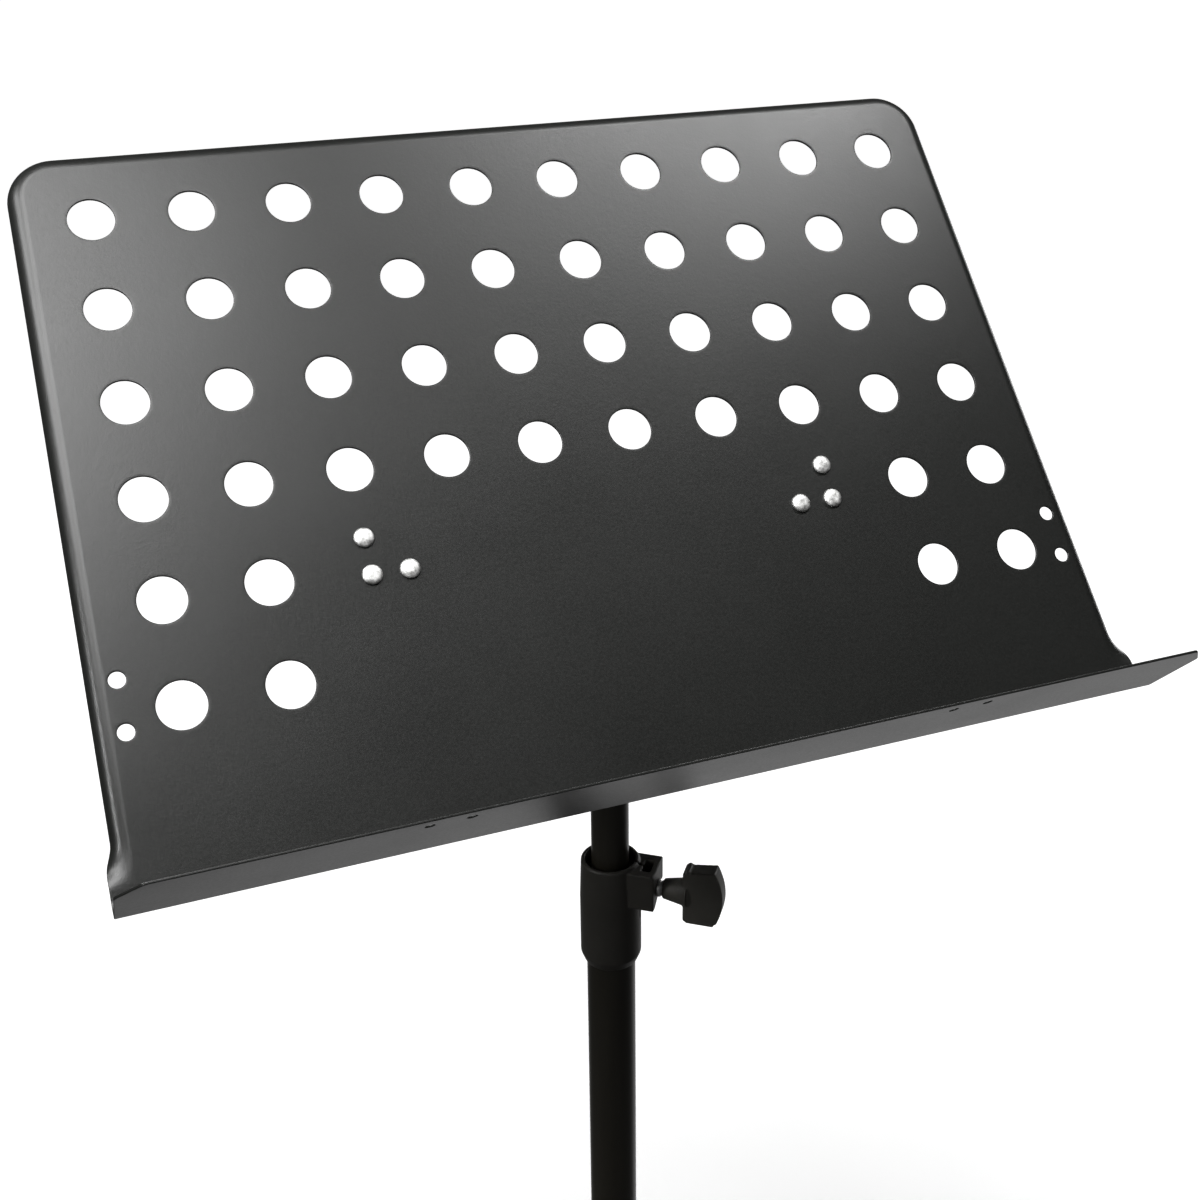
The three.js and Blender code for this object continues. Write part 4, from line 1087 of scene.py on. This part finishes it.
def build_leg(number):
    way = spoke(number)
    at_crown = way @ shift(PIN_RADIUS, 0, CROWN_Z)
    at_collar = way @ shift(PIN_RADIUS, 0, BRACE_Z)
    leg = at_crown @ turn(-LEG_LEAN, "Y")
    body = f"leg_set_{number}"
    piece(f"tripod_leg_{number}", body, leg_shape(), leg, LEG_PAINT, [f"leg_{number}"], bevel=0.3)
    piece(f"tripod_boot_{number}", body, boot_shape(), leg, RUBBER, [f"foot_{number}"])
    link_pin = moved(rod(PIN_R, -LEG_HALF_WIDTH, LEG_HALF_WIDTH, 0.3), shift(0, 0, -LINK) @ ALONG_Y)
    piece(f"leg_brace_pin_{number}", body, link_pin, leg, PIN_STEEL, [f"leg_mid_pin_{number}"])
    crown_half = LEG_HALF_WIDTH + GAP + FORK_T + SEAT
    piece(f"leg_crown_rivet_{number}", "crown", pin_shape(crown_half), at_crown, PIN_STEEL,
          [f"leg_pin_{number}"])
    brace_half = LEG_HALF_WIDTH + GAP + STRIP_T + SEAT
    piece(f"brace_collar_rivet_{number}", "lower_mast", pin_shape(brace_half), at_collar, PIN_STEEL,
          [f"brace_pin_{number}"])
    brace = at_collar @ turn(LEG_LEAN, "Y")
    for label, side in (("a", -1), ("b", 1)):
        middle = side * (LEG_HALF_WIDTH + GAP + STRIP_T / 2)
        piece(f"tripod_brace_{number}_{label}", f"brace_set_{number}", strip_shape(),
              brace @ shift(0, middle, 0), LEG_PAINT, [f"brace_{number}_{label}"], bevel=0.35)
        face = middle + side * (STRIP_T / 2 + 0.02)
        head = lathe([(0, 0), (PIN_HEAD_R - 0.1, 0)] + pin_head(), 40)
        piece(f"brace_outer_rivet_{number}_{label}", f"brace_set_{number}", head,
              brace @ shift(0, face, LINK) @ turn(-side * math.pi / 2, "X"), PIN_STEEL)


def build_tripod():
    piece("tripod_crown", "crown", crown_shape(), MAST, CLAMP_PLASTIC, ["leg_crown"])
    piece("tripod_bottom_collar", "lower_mast", bottom_collar_shape(), MAST, CLAMP_PLASTIC,
          ["bottom_collar"])
    build_clamp_screw("crown", CROWN_KNOB, CROWN_SCREW_Z, 26, "crown", "crown_knob_set")
    for number in LEGS:
        build_leg(number)


# --- studio ---------------------------------------------------------------------------------------------


# In metres and degrees; the lens and the sensor are in millimetres.
FLOOR_HALF, FLOOR_TOP, FLOOR_BOTTOM = 30, -0.0005, -0.02
GLOW_NEAR, GLOW_FAR = 0.4, 1.6
CAMERA_PLACE = (-0.2558, -0.7037, 1.0936)
CAMERA_YAW, CAMERA_PITCH, CAMERA_ROLL = 20.65, 22.05, 1.05
LENS, SENSOR, SHIFT_X, SHIFT_Y = 48.3, 36, 0.0207, -0.0754
LOW_GLOW = Vector((0.5, 0.7, -0.55)).normalized()


def build_floor():
    """A pale floor. It glows a little, more with distance, so that it fades into the white backdrop."""
    floor = linked(block(-FLOOR_HALF, FLOOR_HALF, -FLOOR_HALF, FLOOR_HALF, FLOOR_BOTTOM, FLOOR_TOP), "floor")
    n = Nodes("pale floor")
    n.colour(n.blend(n.noise(6, 3.0), (0.84, 0.84, 0.84), (0.88, 0.88, 0.88)))
    length = n.tree.nodes.new("ShaderNodeVectorMath")
    length.operation = "LENGTH"
    n.link(n.place, length, 0)
    n.link(n.range(length.outputs["Value"], GLOW_NEAR, GLOW_FAR, 0.4, 1.0), n.shader, "Emission Strength")
    n.set(Roughness=0.9, Emission_Color=(1, 1, 1, 1))
    floor.data.materials.append(n.material)
    floor.visible_glossy = False
    floor.visible_diffuse = False


def softbox(name, place, aim, width, height, radiance):
    """A soft rectangular lamp, turned to face a point. Its power follows from its size and radiance."""
    light = bpy.data.lights.new(name, "AREA")
    light.shape = "RECTANGLE"
    light.size, light.size_y = width, height
    light.energy = radiance * math.pi * width * height
    obj = bpy.data.objects.new(name, light)
    obj.location = place
    obj.rotation_euler = (Vector(aim) - Vector(place)).to_track_quat("-Z", "Y").to_euler()
    obj.visible_camera = False
    SCENE.collection.objects.link(obj)


def build_lights():
    """Lamps for the desk, and two low ones for the clutch. All stand clear of the desk however it moves."""
    desk_low, desk_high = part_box("desk_panel")
    desk = (desk_low + desk_high) / 2
    softbox("overhead softbox", (-0.49, -0.46, 2.34), desk, 0.9, 0.95, 11.5)
    softbox("right strip", (0.72, -0.17, 2.22), desk, 0.07, 0.65, 77.5)
    softbox("left strip", (-1.26, -0.23, 1.22), desk, 0.09, 0.15, 82)
    softbox("left fill", (-0.8, -0.1, 1.55), desk, 0.68, 0.27, 11.3)
    clutch = MAST @ Vector((BOSS_REACH + 5, 0, CLUTCH_Z)) * MM
    softbox("low front fill", (-0.5, -1.5, 0.9), clutch, 0.35, 0.35, 2.5)
    softbox("low right fill", (1.1, 0.45, 0.75), clutch, 0.4, 0.5, 4)


def build_world():
    """White to the camera. The parts are lit by a dark room, brighter low down and behind."""
    world = bpy.data.worlds.new("studio")
    SCENE.world = world
    world.use_nodes = True
    tree = world.node_tree
    place = tree.nodes.new("ShaderNodeTexCoord")
    along = tree.nodes.new("ShaderNodeVectorMath")
    along.operation = "DOT_PRODUCT"
    along.inputs[1].default_value = LOW_GLOW
    tree.links.new(place.outputs["Generated"], along.inputs[0])
    glow = tree.nodes.new("ShaderNodeMapRange")
    glow.interpolation_type = "SMOOTHSTEP"
    for socket, number in (("From Min", 0.65), ("From Max", 1.0), ("To Min", 0.04), ("To Max", 0.7)):
        glow.inputs[socket].default_value = number
    tree.links.new(along.outputs["Value"], glow.inputs["Value"])
    path = tree.nodes.new("ShaderNodeLightPath")
    seen = tree.nodes.new("ShaderNodeMath")
    seen.operation = "MAXIMUM"
    tree.links.new(path.outputs["Is Camera Ray"], seen.inputs[0])
    tree.links.new(glow.outputs["Result"], seen.inputs[1])
    background = tree.nodes["Background"]
    background.inputs["Color"].default_value = (1, 1, 1, 1)
    tree.links.new(seen.outputs["Value"], background.inputs["Strength"])
    SCENE.view_settings.view_transform = "Standard"


def build_camera():
    yaw, pitch, roll = (math.radians(angle) for angle in (CAMERA_YAW, CAMERA_PITCH, CAMERA_ROLL))
    camera = bpy.data.cameras.new("camera")
    camera.lens, camera.sensor_width = LENS, SENSOR
    camera.shift_x, camera.shift_y = SHIFT_X, SHIFT_Y
    obj = bpy.data.objects.new("camera", camera)
    rotation = turn(-yaw, "Z") @ turn(math.pi / 2 - pitch, "X") @ turn(-roll, "Z")
    obj.matrix_world = Matrix.Translation(CAMERA_PLACE) @ rotation
    SCENE.collection.objects.link(obj)
    SCENE.camera = obj


build_camera()
build_desk()
build_tilt()
build_mast()
build_tripod()
build_floor()
build_lights()
build_world()
